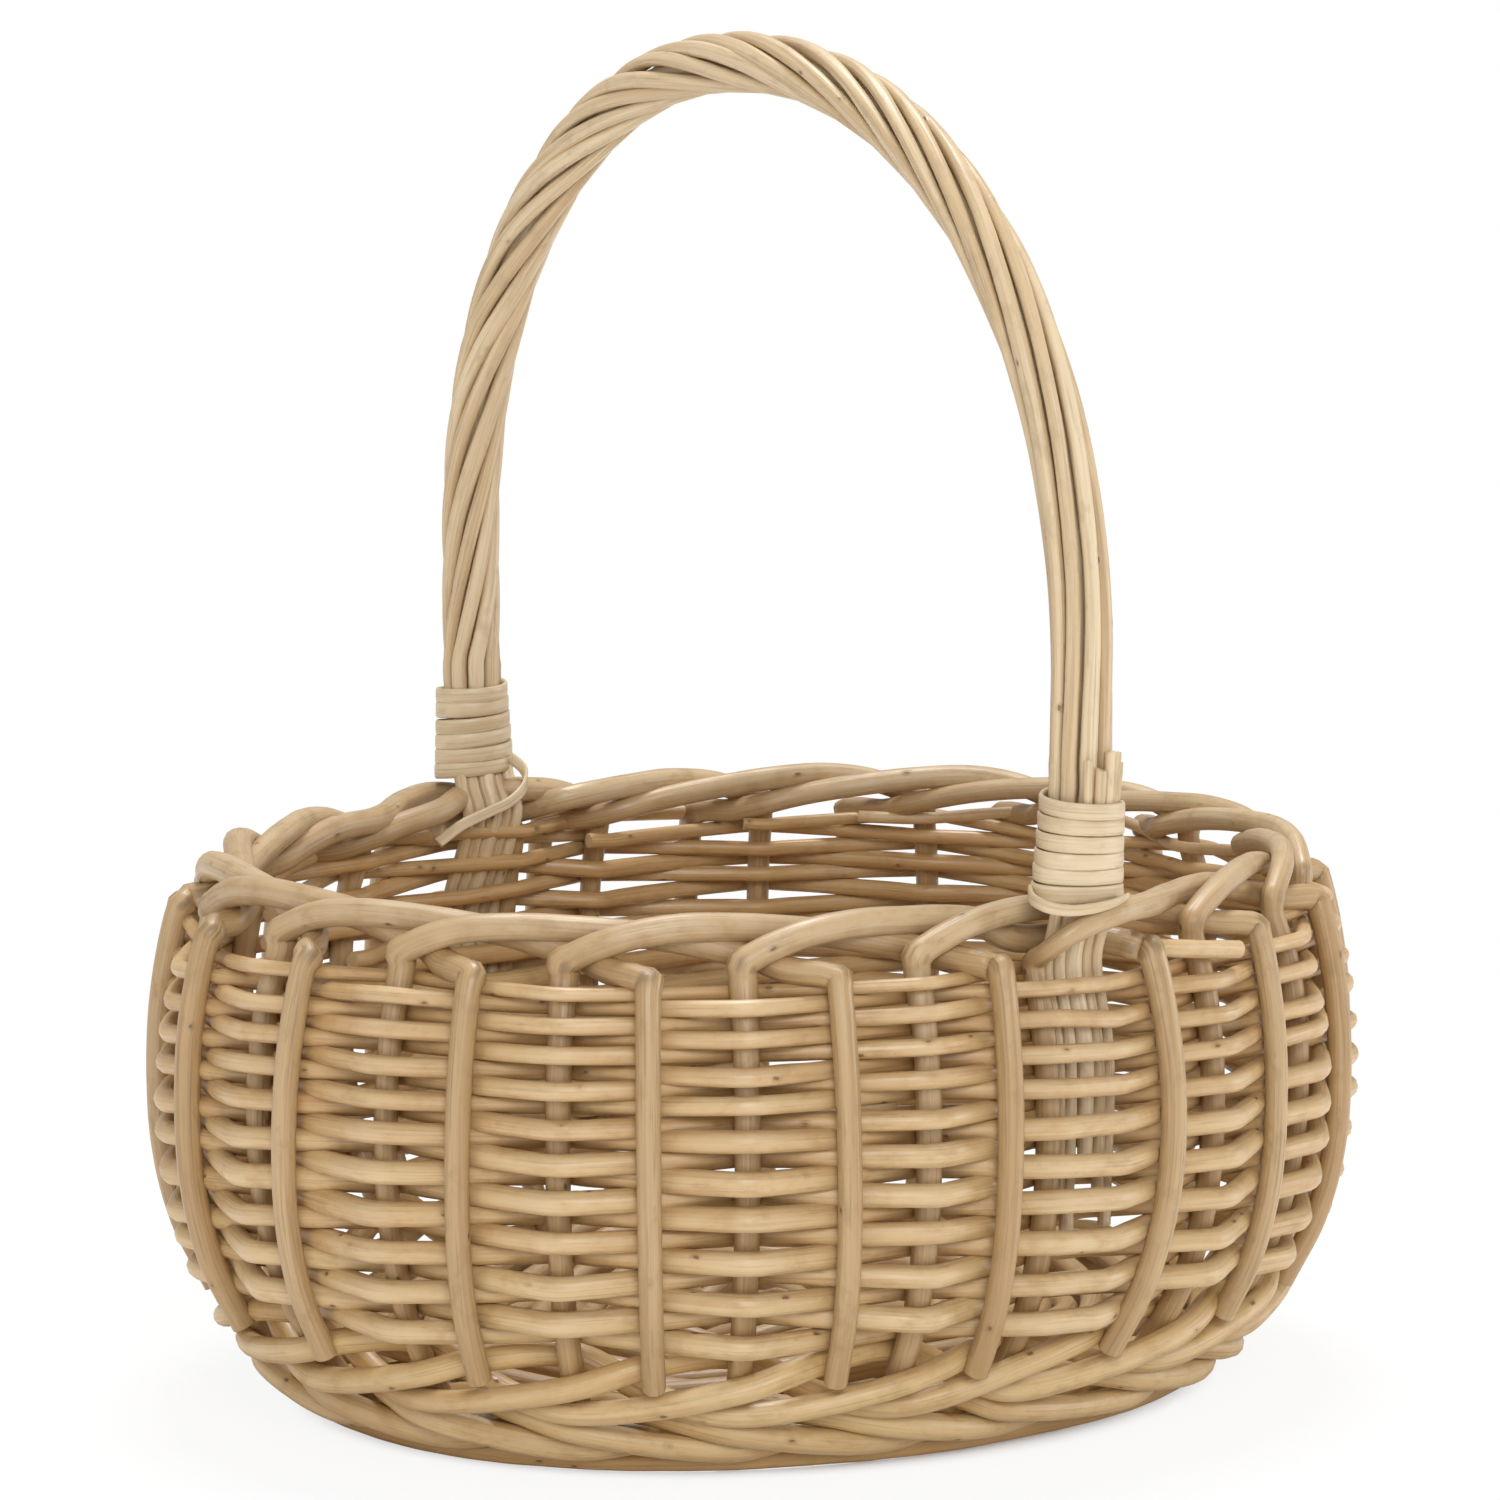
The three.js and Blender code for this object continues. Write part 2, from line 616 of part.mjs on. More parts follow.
// The weaver winds inwards, over one stick end and under the next. It takes the two long ends together
// and one pair of cross ends together, which makes an odd count, so that each round lies opposite to the last.
const SPOKE_GROUPS = [0, 1, 2, 3, 3, 4, 4, 5];
const GROUPS_PER_ROUND = 5;
const liftOf = (round, n) => ((GROUPS_PER_ROUND * round + SPOKE_GROUPS[n]) % 2 ? BASE_SWING : -BASE_SWING);
const basePoints = [];
for (let round = 0; round < baseRounds; round += 1) {
  const spokes = spokeAngles(round);
  spokes.forEach((angle, n) => {
    const isLast = n + 1 === spokes.length;
    const next = isLast ? TURN + spokeAngles(round + 1)[0] : spokes[n + 1];
    const lift = liftOf(round, n);
    const nextLift = isLast ? lift : liftOf(round, n + 1);
    const parts = next - angle > Math.PI / 6 ? [0, 1 / 3, 2 / 3] : [0];
    for (const part of parts) {
      const turned = angle + (next - angle) * part;
      basePoints.push(new THREE.Vector3(
        drawnX(round + turned / TURN) * Math.cos(turned),
        drawnY(round + turned / TURN) * Math.sin(turned),
        BASE_Z + lift + (nextLift - lift) * part,
      ));
    }
  });
}
addPart('base_weaver', rod(basePoints, BASE_WEAVER_R, { sides: 4 }), WILLOW);

export default basket;
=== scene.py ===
import math
import random

import bpy
import numpy as np
from mathutils import Matrix


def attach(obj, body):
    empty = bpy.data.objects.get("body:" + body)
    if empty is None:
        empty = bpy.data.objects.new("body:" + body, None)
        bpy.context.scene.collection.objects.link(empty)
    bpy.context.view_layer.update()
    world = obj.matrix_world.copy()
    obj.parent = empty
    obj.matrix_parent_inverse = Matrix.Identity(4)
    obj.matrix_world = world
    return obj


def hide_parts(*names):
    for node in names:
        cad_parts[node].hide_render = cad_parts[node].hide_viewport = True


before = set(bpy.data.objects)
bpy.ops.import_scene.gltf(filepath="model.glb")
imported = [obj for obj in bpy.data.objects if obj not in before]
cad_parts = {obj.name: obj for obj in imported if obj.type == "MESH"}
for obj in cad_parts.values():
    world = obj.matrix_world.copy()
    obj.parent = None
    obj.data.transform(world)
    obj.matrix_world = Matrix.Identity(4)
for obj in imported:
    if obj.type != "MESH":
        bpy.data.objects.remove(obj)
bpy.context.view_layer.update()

# Body, in metres: an oval wall that swells to a belly and draws in to the base and to the rim
STAKES = 20
HALF_LENGTH = 0.1268
HALF_WIDTH = 0.1094
OVAL_POWER = 2.1
BELLY_Z = 0.0725
BASE_INSET = 0.0345
BASE_CURVE = 2.65
RIM_Z = 0.1085
RIM_INSET = 0.0066
GAP = 0.0003

# Stakes: radii of the solid, the upright, the border and the rib, and the foot that lies under the base
STAKE_R = 0.0026
UPRIGHT_R = 0.0025
BORDER_R = 0.00272
RIB_R = 0.00265
RIB_END_RUN = 0.026
TOE_LENGTH = 0.014
TOE_BEND = 0.0022

# Rows of side weaving, from the lowest to the top one, with the swell of the radius halfway up
ROWS = 20
FIRST_ROW_Z = 0.0326
LOW_PITCH = 0.0043
HIGH_PITCH = 0.00285
LOW_ROW_R = 0.00245
HIGH_ROW_R = 0.0015
ROW_SWELL = 0.00036
# Unevenness of one row and of all together, and tilt of a row with the wall: 0 is level
ROW_KINK = 0.0004
SAG = 0.0009
ROW_TILT = 0.35

# Wale and foot rod: the radius of the solids, and thicker ones that close the weave
WALE_R = 0.00225
WALE_THICK_R = 0.0027
WALE_STEP = 0.0055
WALE_ROUNDS = 2
FOOT_ROD_Z = 0.0052
FOOT_ROD_R = 0.00255

# Bow handle
HANDLE_INSET = 0.0024
HANDLE_HALF_SPAN = HALF_WIDTH - HANDLE_INSET
HANDLE_SPRING_Z = 0.166
HANDLE_TOP_Z = 0.2805
HANDLE_R = 0.0065
ARCH_POWER = 2.08
BOW_LEAN = 0.003
ROPE_RODS = 8
ROPE_TURNS = 2.25
FAN_ROD_R = 0.0013
FAN_CORE_R = 0.002
FAN_THICK_R = 0.00122

# Cane bindings
CANE_WIDTH = 0.0029
CANE_THICK = 0.001
CANE_PITCH = 0.0034
CANE_LOOPS = 6
CANE_LOW_Z = 0.1172
CANE_HIGH_Z = CANE_LOW_Z + CANE_LOOPS * CANE_PITCH

# Woven base
BASE_STICK_R = 0.002
BASE_WEAVER_R = 0.002
BASE_WEAVER_THICK_R = 1.25 * BASE_WEAVER_R
BASE_PITCH = 0.0045
BASE_EDGE = BASE_INSET - TOE_BEND
LONG_STICK_Y = 0.0026
CROSS_STICK_X = 0.009

# Fineness of the rods: the length of a step along them and the number of sides round them
STEP = 0.0017
STAKE_STEP = 0.0012
SIDES = 14
ROW_SIDES = 12
THIN_SIDES = 10
OVAL_STEPS = 1440
NUDGE = 5e-5
WALK = 1e-4
TURN = 2 * math.pi

# Unevenness of a rod: its waves, how oval and three-sided it is, and how fast these turn along it
UNEVEN_WAVES = (0.012, 0.11)
OVAL_SHARE = (0.02, 0.06)
THREE_SHARE = 0.02
OVAL_TWIST = 9
THREE_TWIST = 23
# Sawn end of a rod: its length, then the size, the share of that length and the cut mark of each ring
END_LIFT = 0.12
END_RINGS = ((1.0, 0.6, 0.0), (0.9, 1.0, 1.0), (0.5, 1.0, 1.0))
# Crushed bends: where folding starts and over what it grows, room inside a bend, flattening and spreading
FOLD_START = 0.35
FOLD_SPAN = 0.5
BEND_ROOM = 0.75
FOLD_FLAT = 0.3
FOLD_SPREAD = 0.12

# Seeds of the random draws: paths of rods, then their unevenness and tint
SAG_SEED = 31
STAKE_PATH_SEED = 600
ROW_PATH_SEED = 500
ROPE_PATH_SEED = 700
SPARE_PATH_SEED = 425
BINDING_PATH_SEED = 436
STAKE_SEED = 100
ROW_SEED = 200
WALE_SEED = 300
FOOT_ROD_SEED = 310
ROPE_SEED = 400
CORE_SEED = 420
SPARE_SEED = 426
BINDING_SEED = 430
TAIL_SEED = 435
LONG_STICK_SEED = 440
CROSS_STICK_SEED = 450
BASE_WEAVER_SEED = 460


def run_length(x, y):
    return np.concatenate([[0], np.cumsum(np.hypot(np.diff(x), np.diff(y)))])


# The oval is walked by length, so every stake stands the same distance from the next
def oval_table():
    angle = np.linspace(-math.pi / 2, 1.5 * math.pi, OVAL_STEPS + 1)
    c, s = np.cos(angle), np.sin(angle)
    x = HALF_LENGTH * np.sign(c) * np.abs(c) ** (2 / OVAL_POWER)
    y = HALF_WIDTH * np.sign(s) * np.abs(s) ** (2 / OVAL_POWER)
    return x, y, run_length(x, y)


OVAL_X, OVAL_Y, OVAL_LENGTH = oval_table()
GIRTH = OVAL_LENGTH[-1]
STAKE_SPACE = GIRTH / STAKES


def oval_at(place):
    wanted = (place / STAKES) % 1 * GIRTH
    return np.array([np.interp(wanted, OVAL_LENGTH, OVAL_X), np.interp(wanted, OVAL_LENGTH, OVAL_Y)])


# A point by its place along the girth in stakes, its distance outside the belly line and its height
def at(place, out, z):
    x, y = oval_at(place)
    along = oval_at(place + 0.1) - oval_at(place - 0.1)
    along /= np.hypot(*along)
    return np.array([x + along[1] * out, y - along[0] * out, z])


def wall_inset(z):
    if z < BELLY_Z:
        return -BASE_INSET * ((BELLY_Z - z) / BELLY_Z) ** BASE_CURVE
    return -RIM_INSET * ((z - BELLY_Z) / (RIM_Z - BELLY_Z)) ** 2


def wall_slope(z):
    return (wall_inset(z + NUDGE) - wall_inset(z - NUDGE)) / (2 * NUDGE)


# A point on the wall, moved off it along the wall's own normal
def on_wall(place, z, off):
    slope = wall_slope(z)
    lean = math.hypot(1, slope)
    return at(place, wall_inset(z) + off / lean, z - off * slope / lean)


# A point on a row, at a distance off the wall. A row is nearly level: its inner side is a little higher
def beside_wall(place, z, off, swing):
    slope = wall_slope(z)
    lean = math.hypot(1, slope)
    level = z - (swing * (1 - ROW_TILT) + off * ROW_TILT) * slope / lean
    return at(place, wall_inset(level) + off * lean, level)


# The height that is reached by walking a length up the wall
def up_wall(start_z, length):
    z = start_z
    walked = 0.0
    while walked < length:
        z += WALK / math.hypot(1, wall_slope(z))
        walked += WALK
    return z


# Smooth waves with seeded phases, so that no two rods run quite alike
def waves(rng, shortest, longest, count=4):
    lengths = [shortest * (longest / shortest) ** (i / (count - 1)) for i in range(count)]
    parts = [(TURN / length, rng.uniform(0, TURN), (length / longest) ** 0.5) for length in lengths]
    total = sum(size for _, _, size in parts)
    return lambda s: sum(size * np.sin(rate * s + phase) for rate, phase, size in parts) / total


# Points about one step apart on a smooth curve through the given points, with values carried along
def smooth(points, values, step):
    pts = np.array(points, float)
    ends = np.vstack([2 * pts[0] - pts[1], pts, 2 * pts[-1] - pts[-2]])
    fine = []
    knots = [0]
    for p0, p1, p2, p3 in zip(ends, ends[1:], ends[2:], ends[3:]):
        steps = (p1 - p0, p2 - p1, p3 - p2)
        t01, t12, t23 = [max(np.linalg.norm(step_on), 1e-9) ** 0.5 for step_on in steps]
        m1 = t12 * ((p1 - p0) / t01 - (p2 - p0) / (t01 + t12) + (p2 - p1) / t12)
        m2 = t12 * ((p2 - p1) / t12 - (p3 - p1) / (t12 + t23) + (p3 - p2) / t23)
        u = np.linspace(0, 1, 17)[:-1, None]
        fine.append((2 * u**3 - 3 * u**2 + 1) * p1 + (u**3 - 2 * u**2 + u) * m1
                    + (3 * u**2 - 2 * u**3) * p2 + (u**3 - u**2) * m2)
        knots.append(knots[-1] + 16)
    line = np.vstack(fine + [pts[-1:]])
    reach = np.concatenate([[0], np.cumsum(np.linalg.norm(np.diff(line, axis=0), axis=1))])
    count = max(int(reach[-1] / step), 4) + 1
    s = np.linspace(0, reach[-1], count)
    placed = np.stack([np.interp(s, reach, line[:, i]) for i in range(3)], axis=1)
    carried = np.interp(s, reach[knots], values)
    return placed, carried, s


def unit(rows):
    return rows / np.maximum(np.linalg.norm(rows, axis=-1, keepdims=True), 1e-12)


# A frame carried along a line without twisting
def frames(line, up):
    tangent = unit(np.gradient(line, axis=0))
    side = np.zeros_like(line)
    carried = np.array(up, float)
    for i, along in enumerate(tangent):
        carried = carried - along * carried.dot(along)
        carried /= max(np.linalg.norm(carried), 1e-9)
        side[i] = carried
    return tangent, side, np.cross(tangent, side)


# Every rod gets its own stretch of the grain pattern
GRAIN_APART = 1.7
rods_made = 0


def next_grain():
    global rods_made
    rods_made += 1
    return GRAIN_APART * rods_made


# One rod: a round tube with taper, slight unevenness, crushed bends and sawn ends
def rod_mesh(rng, points, radius, taper=0.0, uneven=0.05, sides=SIDES, step=STEP, up=(0, 0, 1),
             slant=0.25, press=None, painted_light=None):
    values = radius if isinstance(radius, (list, tuple)) else [radius] * len(points)
    line, thick, s = smooth(points, values, step)
    # A painted highlight where the rod stands out towards the lamps, carried along the rod
    highlit = smooth(points, painted_light, step)[1] if painted_light else np.zeros(len(s))
    thick = thick * (1 + taper * (0.5 - s / s[-1]) + uneven * waves(rng, *UNEVEN_WAVES)(s))
    tangent, side, rise = frames(line, up)
    bend = np.gradient(tangent, s, axis=0)
    sharp = np.linalg.norm(bend, axis=1)
    inward = unit(bend)
    stress = np.clip(sharp * thick, 0, 1)
    theta = np.linspace(0, TURN, sides, endpoint=False)
    ring = (np.cos(theta)[None, :, None] * side[:, None, :]
            + np.sin(theta)[None, :, None] * rise[:, None, :])
    oval = rng.uniform(*OVAL_SHARE)
    lobe = 1 + oval * np.cos(2 * theta[None, :] + rng.uniform(0, TURN) + OVAL_TWIST * s[:, None])
    lobe = lobe + THREE_SHARE * np.cos(3 * theta[None, :] + rng.uniform(0, TURN) - THREE_TWIST * s[:, None])
    offset = ring * (thick[:, None] * lobe)[:, :, None]
    offset = crush(offset, inward, tangent, sharp, stress)
    if press:
        offset = press(line, offset)
    verts = line[:, None, :] + offset
    grain = np.stack([
        np.cos(theta)[None, :] * thick[:, None],
        np.sin(theta)[None, :] * thick[:, None],
        np.repeat(s[:, None], sides, axis=1) + next_grain(),
    ], axis=2)
    strained, highlit_rings = [np.repeat(row[:, None], sides, axis=1) for row in (stress, highlit)]
    blocks = [(verts, grain, np.zeros(lobe.shape), strained, highlit_rings)]
    for end, sign in ((0, -1), (-1, 1)):
        tilt = slant * rng.uniform(-1, 1)
        lift = thick[end] * np.maximum(END_LIFT + tilt * np.cos(theta + rng.uniform(0, TURN)), 0)
        reach = sign * tangent[end] * lift[:, None]
        for scale, push, is_cut in END_RINGS:
            layer = line[end] + offset[end] * scale + reach * push
            entry = (layer[None], grain[end][None], np.full((1, sides), is_cut), np.zeros((1, sides)),
                     np.full((1, sides), highlit[end]))
            blocks.insert(0 if end == 0 else len(blocks), entry)
    return [np.concatenate(layers) for layers in zip(*blocks)]


# In a sharp bend the inner side is pressed flat, the outer side folds to a corner and the rod spreads across
def crush(offset, inward, tangent, sharp, stress):
    fold = np.clip((stress - FOLD_START) / FOLD_SPAN, 0, 1)[:, None]
    deep = (offset * inward[:, None, :]).sum(axis=2)
    room = BEND_ROOM / np.maximum(sharp, 1e-6)
    pressed = -np.maximum(deep - room[:, None], 0) + FOLD_FLAT * fold * np.minimum(deep, 0)
    across = np.cross(tangent, inward)
    wide = (offset * across[:, None, :]).sum(axis=2) * FOLD_SPREAD * fold
    return offset + pressed[:, :, None] * inward[:, None, :] + wide[:, :, None] * across[:, None, :]


def add_object(name, data):
    thing = bpy.data.objects.new(name, data)
    bpy.context.scene.collection.objects.link(thing)
    return thing


# Tubes as one piece on the basket's body, in place of a solid where there is one
def add_piece(name, node, slot, tubes, tints):
    quads, caps = [], []
    start = 0
    for verts, *_ in tubes:
        rings, sides = verts.shape[:2]
        i = np.arange(rings - 1)[:, None] * sides + start
        k = np.arange(sides)[None, :]
        k2 = (k + 1) % sides
        quads.append(np.stack([i + k, i + k2, i + sides + k2, i + sides + k], axis=2).reshape(-1, 4))
        caps.append(list(range(start + sides - 1, start - 1, -1)))
        caps.append(list(range(start + (rings - 1) * sides, start + rings * sides)))
        start += rings * sides
    mesh = bpy.data.meshes.new(name)
    points = np.concatenate([verts.reshape(-1, 3) for verts, *_ in tubes])
    mesh.from_pydata(points.tolist(), [], np.concatenate(quads).tolist() + caps)
    _, grains, cuts, strains, highlight_rows = zip(*tubes)
    tinted = [np.full(cut.size, tint) for cut, tint in zip(cuts, tints)]
    labels = ("rod_space", "rod_cut", "rod_strain", "rod_painted_highlight", "rod_tint")
    for label, rows in zip(labels, (grains, cuts, strains, highlight_rows, tinted)):
        kind, key = ("FLOAT_VECTOR", "vector") if label == "rod_space" else ("FLOAT", "value")
        layer = mesh.attributes.new(label, kind, "POINT")
        layer.data.foreach_set(key, np.concatenate([row.ravel() for row in rows]).astype(np.float32))
    mesh.polygons.foreach_set("use_smooth", np.ones(len(mesh.polygons), bool))
    mesh.materials.append(MATERIALS[slot])
    piece = add_object(name, mesh)
    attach(piece, "root")
    if node:
        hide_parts(node)


def add_rods(name, node, slot, rods, seed, tint_range=(0, 1)):
    rng = random.Random(seed)
    tubes = [rod_mesh(rng, **rod) for rod in rods]
    add_piece(name, node, slot, tubes, [rng.uniform(*tint_range) for _ in tubes])


# Each input of a node is linked where an output is given, and set where a value is given
def fill(tree, node, inputs):
    for key, value in inputs.items():
        socket = node.inputs[key]
        if isinstance(value, bpy.types.NodeSocket):
            tree.links.new(value, socket)
        elif socket.type == "RGBA":
            socket.default_value = (*value, 1)
        else:
            socket.default_value = value


def new_node(tree, kind, inputs, **settings):
    node = tree.nodes.new(kind)
    for key, value in settings.items():
        setattr(node, key, value)
    fill(tree, node, inputs)
    return node


def new_material(name):
    material = bpy.data.materials.new(name)
    material.use_nodes = True
    return material, material.node_tree, material.node_tree.nodes["Principled BSDF"]


def attribute(tree, name, output="Fac"):
    node = new_node(tree, "ShaderNodeAttribute", {}, attribute_type="GEOMETRY", attribute_name=name)
    return node.outputs[output]


def vector_node(tree, operation, inputs, output=0):
    return new_node(tree, "ShaderNodeVectorMath", inputs, operation=operation).outputs[output]


def scaled(tree, vector, scale):
    return vector_node(tree, "MULTIPLY", {0: vector, 1: scale})


def length_of(tree, vector):
    return vector_node(tree, "LENGTH", {0: vector}, "Value")


def noise(tree, vector, detail, roughness=0.55):
    inputs = {"Scale": 1, "Detail": detail, "Roughness": roughness, "Vector": vector}
    return new_node(tree, "ShaderNodeTexNoise", inputs).outputs["Fac"]


def remap(tree, value, low, high, to_low=0.0, to_high=1.0):
    inputs = {"Value": value, "From Min": low, "From Max": high, "To Min": to_low, "To Max": to_high}
    return new_node(tree, "ShaderNodeMapRange", inputs, interpolation_type="SMOOTHSTEP").outputs["Result"]


def math_node(tree, operation, a, b):
    return new_node(tree, "ShaderNodeMath", {0: a, 1: b}, operation=operation).outputs[0]


def product(tree, a, b):
    return math_node(tree, "MULTIPLY", a, b)


def weighted_sum(tree, a, a_weight, b, b_weight):
    return math_node(tree, "ADD", product(tree, a, a_weight), product(tree, b, b_weight))


def mix_colour(tree, factor, a, b):
    return new_node(tree, "ShaderNodeMix", {"Factor": factor, 6: a, 7: b}, data_type="RGBA").outputs[2]


# One shader for the light that falls on the scene and another for what the camera sees, mixed by a factor
def mix_shaders(tree, factor, lit, seen, output):
    mix = new_node(tree, "ShaderNodeMixShader", {"Fac": factor, 1: lit, 2: seen})
    fill(tree, tree.nodes[output], {"Surface": mix.outputs["Shader"]})


def shade(colour, factor):
    return tuple(min(factor * c, 1) for c in colour)


# Tones that the willow shares: the painted highlight on the outer sides and tops of rods, the middle of a
# knot and a sawn end
PAINTED_HIGHLIGHT = (0.80, 0.73, 0.55)
KNOT_BROWN = (0.085, 0.035, 0.014)
SAWN = (0.66, 0.50, 0.30)


# Peeled willow: a pale and a warm tone in long streaks, fine grain, weathered patches, a painted highlight,
# knots and sawn ends
def willow(name, pale, warm, stain, knots, highlight_share):
    material, tree, shader = new_material(name)
    space = attribute(tree, "rod_space", "Vector")
    tint = attribute(tree, "rod_tint")
    bands = noise(tree, scaled(tree, space, (620, 620, 14)), 3)
    fibre = noise(tree, scaled(tree, space, (2200, 2200, 45)), 4, 0.6)
    mottle = noise(tree, scaled(tree, space, (260, 260, 150)), 4, 0.6)
    broad = noise(tree, scaled(tree, space, (20, 20, 7)), 2)
    toned = weighted_sum(tree, tint, 0.55, broad, 0.8)
    colour = mix_colour(tree, remap(tree, toned, 0.3, 1.05), pale, warm)
    # Each layer has its pattern, where that starts and where it is full, how strong it is and its tone
    for pattern, start, full, strength, tone in (
        (bands, 0.5, 0.7, 0.65, stain),
        (bands, 0.48, 0.3, 0.5, shade(pale, 1.04)),
        (mottle, 0.52, 0.72, 0.55, shade(warm, 0.78)),
        (fibre, 0.52, 0.7, 0.6, shade(warm, 0.6)),
        (fibre, 0.45, 0.3, 0.3, shade(pale, 1.08)),
    ):
        colour = mix_colour(tree, remap(tree, pattern, start, full, 0, strength), colour, tone)
    # Painted highlight where a rod stands out and on top of the border, broken up by the mottle
    highlit = product(tree, attribute(tree, "rod_painted_highlight"), highlight_share)
    highlit = product(tree, highlit, remap(tree, mottle, 0.35, 0.65, 1, 0.4))
    halo, core = knot_masks(tree, space)
    strained = remap(tree, attribute(tree, "rod_strain"), 0.4, 0.9, 0, 0.7)
    for mask, tone in (
        (highlit, tuple((c + f) / 2 for c, f in zip(pale, PAINTED_HIGHLIGHT))),
        (product(tree, halo, 0.45 * knots), shade(warm, 0.7)),
        (product(tree, core, 0.7 * knots), KNOT_BROWN),
        (product(tree, strained, remap(tree, bands, 0.42, 0.58)), shade(warm, 0.5)),
        (product(tree, attribute(tree, "rod_cut"), 0.7), SAWN),
    ):
        colour = mix_colour(tree, mask, colour, tone)
    rough = remap(tree, fibre, 0.3, 0.75, 0.34, 0.58)
    height = weighted_sum(tree, bands, 0.6, fibre, 0.3)
    height = math_node(tree, "ADD", height, product(tree, halo, 0.5))
    bump = new_node(tree, "ShaderNodeBump", {"Strength": 0.7, "Distance": 0.0004, "Height": height})
    fill(tree, shader, {"Base Color": colour, "Roughness": rough, "Specular IOR Level": 0.8,
                        "Normal": bump.outputs["Normal"]})
    return material


# Each cell of the grain pattern holds one knot
KNOT_CELL = (0.0065, 0.0065, 0.011)
KNOT_SIZE = (0.0008, 0.0008, 0.0014)


# Small knots where buds were rubbed off: the ring round each one, and its dark middle
def knot_masks(tree, space):
    stretched = scaled(tree, space, tuple(1 / c for c in KNOT_CELL))
    cells = new_node(tree, "ShaderNodeTexVoronoi", {"Scale": 1, "Vector": stretched})
    apart = vector_node(tree, "SUBTRACT", {0: stretched, 1: cells.outputs["Position"]})
    sized = scaled(tree, apart, tuple(c / s for c, s in zip(KNOT_CELL, KNOT_SIZE)))
    ragged = noise(tree, scaled(tree, space, (1500, 1500, 900)), 2)
    far = math_node(tree, "ADD", length_of(tree, sized), product(tree, ragged, 0.7))
    return remap(tree, far, 1.55, 0.75), remap(tree, far, 0.95, 0.7)


# Pale tone, warm tone, stain, strength of the knots and of the painted highlight, by slot
TONES = {
    "stake_willow": ((0.51, 0.36, 0.19), (0.41, 0.255, 0.11), (0.34, 0.20, 0.08), 1, 0.33),
    "weaver_willow": ((0.585, 0.405, 0.19), (0.49, 0.28, 0.105), (0.41, 0.21, 0.07), 1, 0.45),
    "wale_willow": ((0.59, 0.405, 0.175), (0.505, 0.295, 0.105), (0.42, 0.22, 0.07), 1, 0.33),
    "handle_willow": ((0.715, 0.58, 0.385), (0.59, 0.435, 0.25), (0.45, 0.295, 0.145), 1, 0),
    "base_willow": ((0.55, 0.38, 0.20), (0.45, 0.28, 0.125), (0.40, 0.23, 0.09), 1, 0),
    "cane": ((0.67, 0.545, 0.365), (0.60, 0.46, 0.275), (0.52, 0.375, 0.21), 0.15, 0),
}
MATERIALS = {slot: willow(slot, *tones) for slot, tones in TONES.items()}

# Two stakes stand aside, to make room for the fanned rods at the handle feet
HALF_ROUND = STAKES // 2
FAN_PITCH = 2 * FAN_ROD_R + GAP
FAN_INNER = FAN_CORE_R + FAN_ROD_R + GAP
FAN_EDGE = FAN_INNER + FAN_PITCH + FAN_ROD_R
FOOT_SHIFT = (FAN_EDGE + UPRIGHT_R - 2 * GAP) / STAKE_SPACE
# Stakes of the far wall that stand aside of their even places
STAKE_SHIFTS = {8: 0.06, 9: 0.15}
# Ribs that stand aside at the top, bow out or lean over, by stake
RIB_HABITS = {11: (-0.28, 0, 0), 12: (-0.12, 0, 0), 13: (-0.11, 0, -0.1), 18: (-0.12, 0.1, -0.1)}
# How much the crown of the border, the place of a rib and its lean differ from stake to stake
CROWN_VARY = 0.06
RIB_VARY = 0.025
RIB_LEAN_VARY = 0.06
RIB_TAPER = 0.05
# Points along an upright, as shares of the border's height, and along a rib, as shares of its length
UPRIGHT_PARTS = (0.075, 0.19, 0.335, 0.52, 0.71, 0.87)
RIB_PARTS = (0, 0.2, 0.42, 0.64, 0.83, 1)


def is_foot(stake):
    return stake % HALF_ROUND == 0


def stake_place(stake):
    if is_foot(stake):
        return stake - FOOT_SHIFT
    return stake + STAKE_SHIFTS.get(stake % STAKES, 0)


# Heights and thicknesses of the rows: the solid's own radius, then the real one, pressed tight
ROW_LIST = []
row_z = FIRST_ROW_Z
for k in range(ROWS):
    up_share = k / (ROWS - 1)
    pitch = LOW_PITCH + (HIGH_PITCH - LOW_PITCH) * up_share
    row_r = LOW_ROW_R + (HIGH_ROW_R - LOW_ROW_R) * up_share + ROW_SWELL * math.sin(math.pi * up_share)
    ROW_LIST.append((row_z, (pitch - GAP) / 2, row_r))
    row_z += pitch
TOP_ROW_Z, TOP_ROW_SOLID_R, _ = ROW_LIST[-1]
BORDER_Z = TOP_ROW_Z + TOP_ROW_SOLID_R + 1.9 * STAKE_R
LAY = 2 * STAKE_R + GAP
FOOT_FLAT = UPRIGHT_R + GAP
RIB_END_Z = up_wall(FOOT_ROD_Z, RIB_END_RUN)
RIB_LIFT = STAKE_R + GAP
FOOT_RIB_LIFT = RIB_LIFT + 0.42 * STAKE_R
# At the back foot of the handle the border passes outside it, by this many layers
BACK_BORDER = 0.55
# The border is thickest to the left of the front and thinnest at the right end
THICK_STAKE = 14
THICK_SHARE = 0.1


def row_radius_at(z):
    return float(np.interp(z, [row[0] for row in ROW_LIST], [row[1] for row in ROW_LIST]))


# A rib comes down about halfway between two stakes, and stands further out beside a handle foot
def rib_seat(stake):
    if is_foot(stake + 2):
        return stake + 2.55, FOOT_RIB_LIFT
    if is_foot(stake + 3):
        return stake + 2.42, FOOT_RIB_LIFT
    return stake + 2.5, RIB_LIFT


def border_radius(stake):
    return BORDER_R * (1 + THICK_SHARE * math.cos(TURN * (stake - THICK_STAKE) / STAKES))


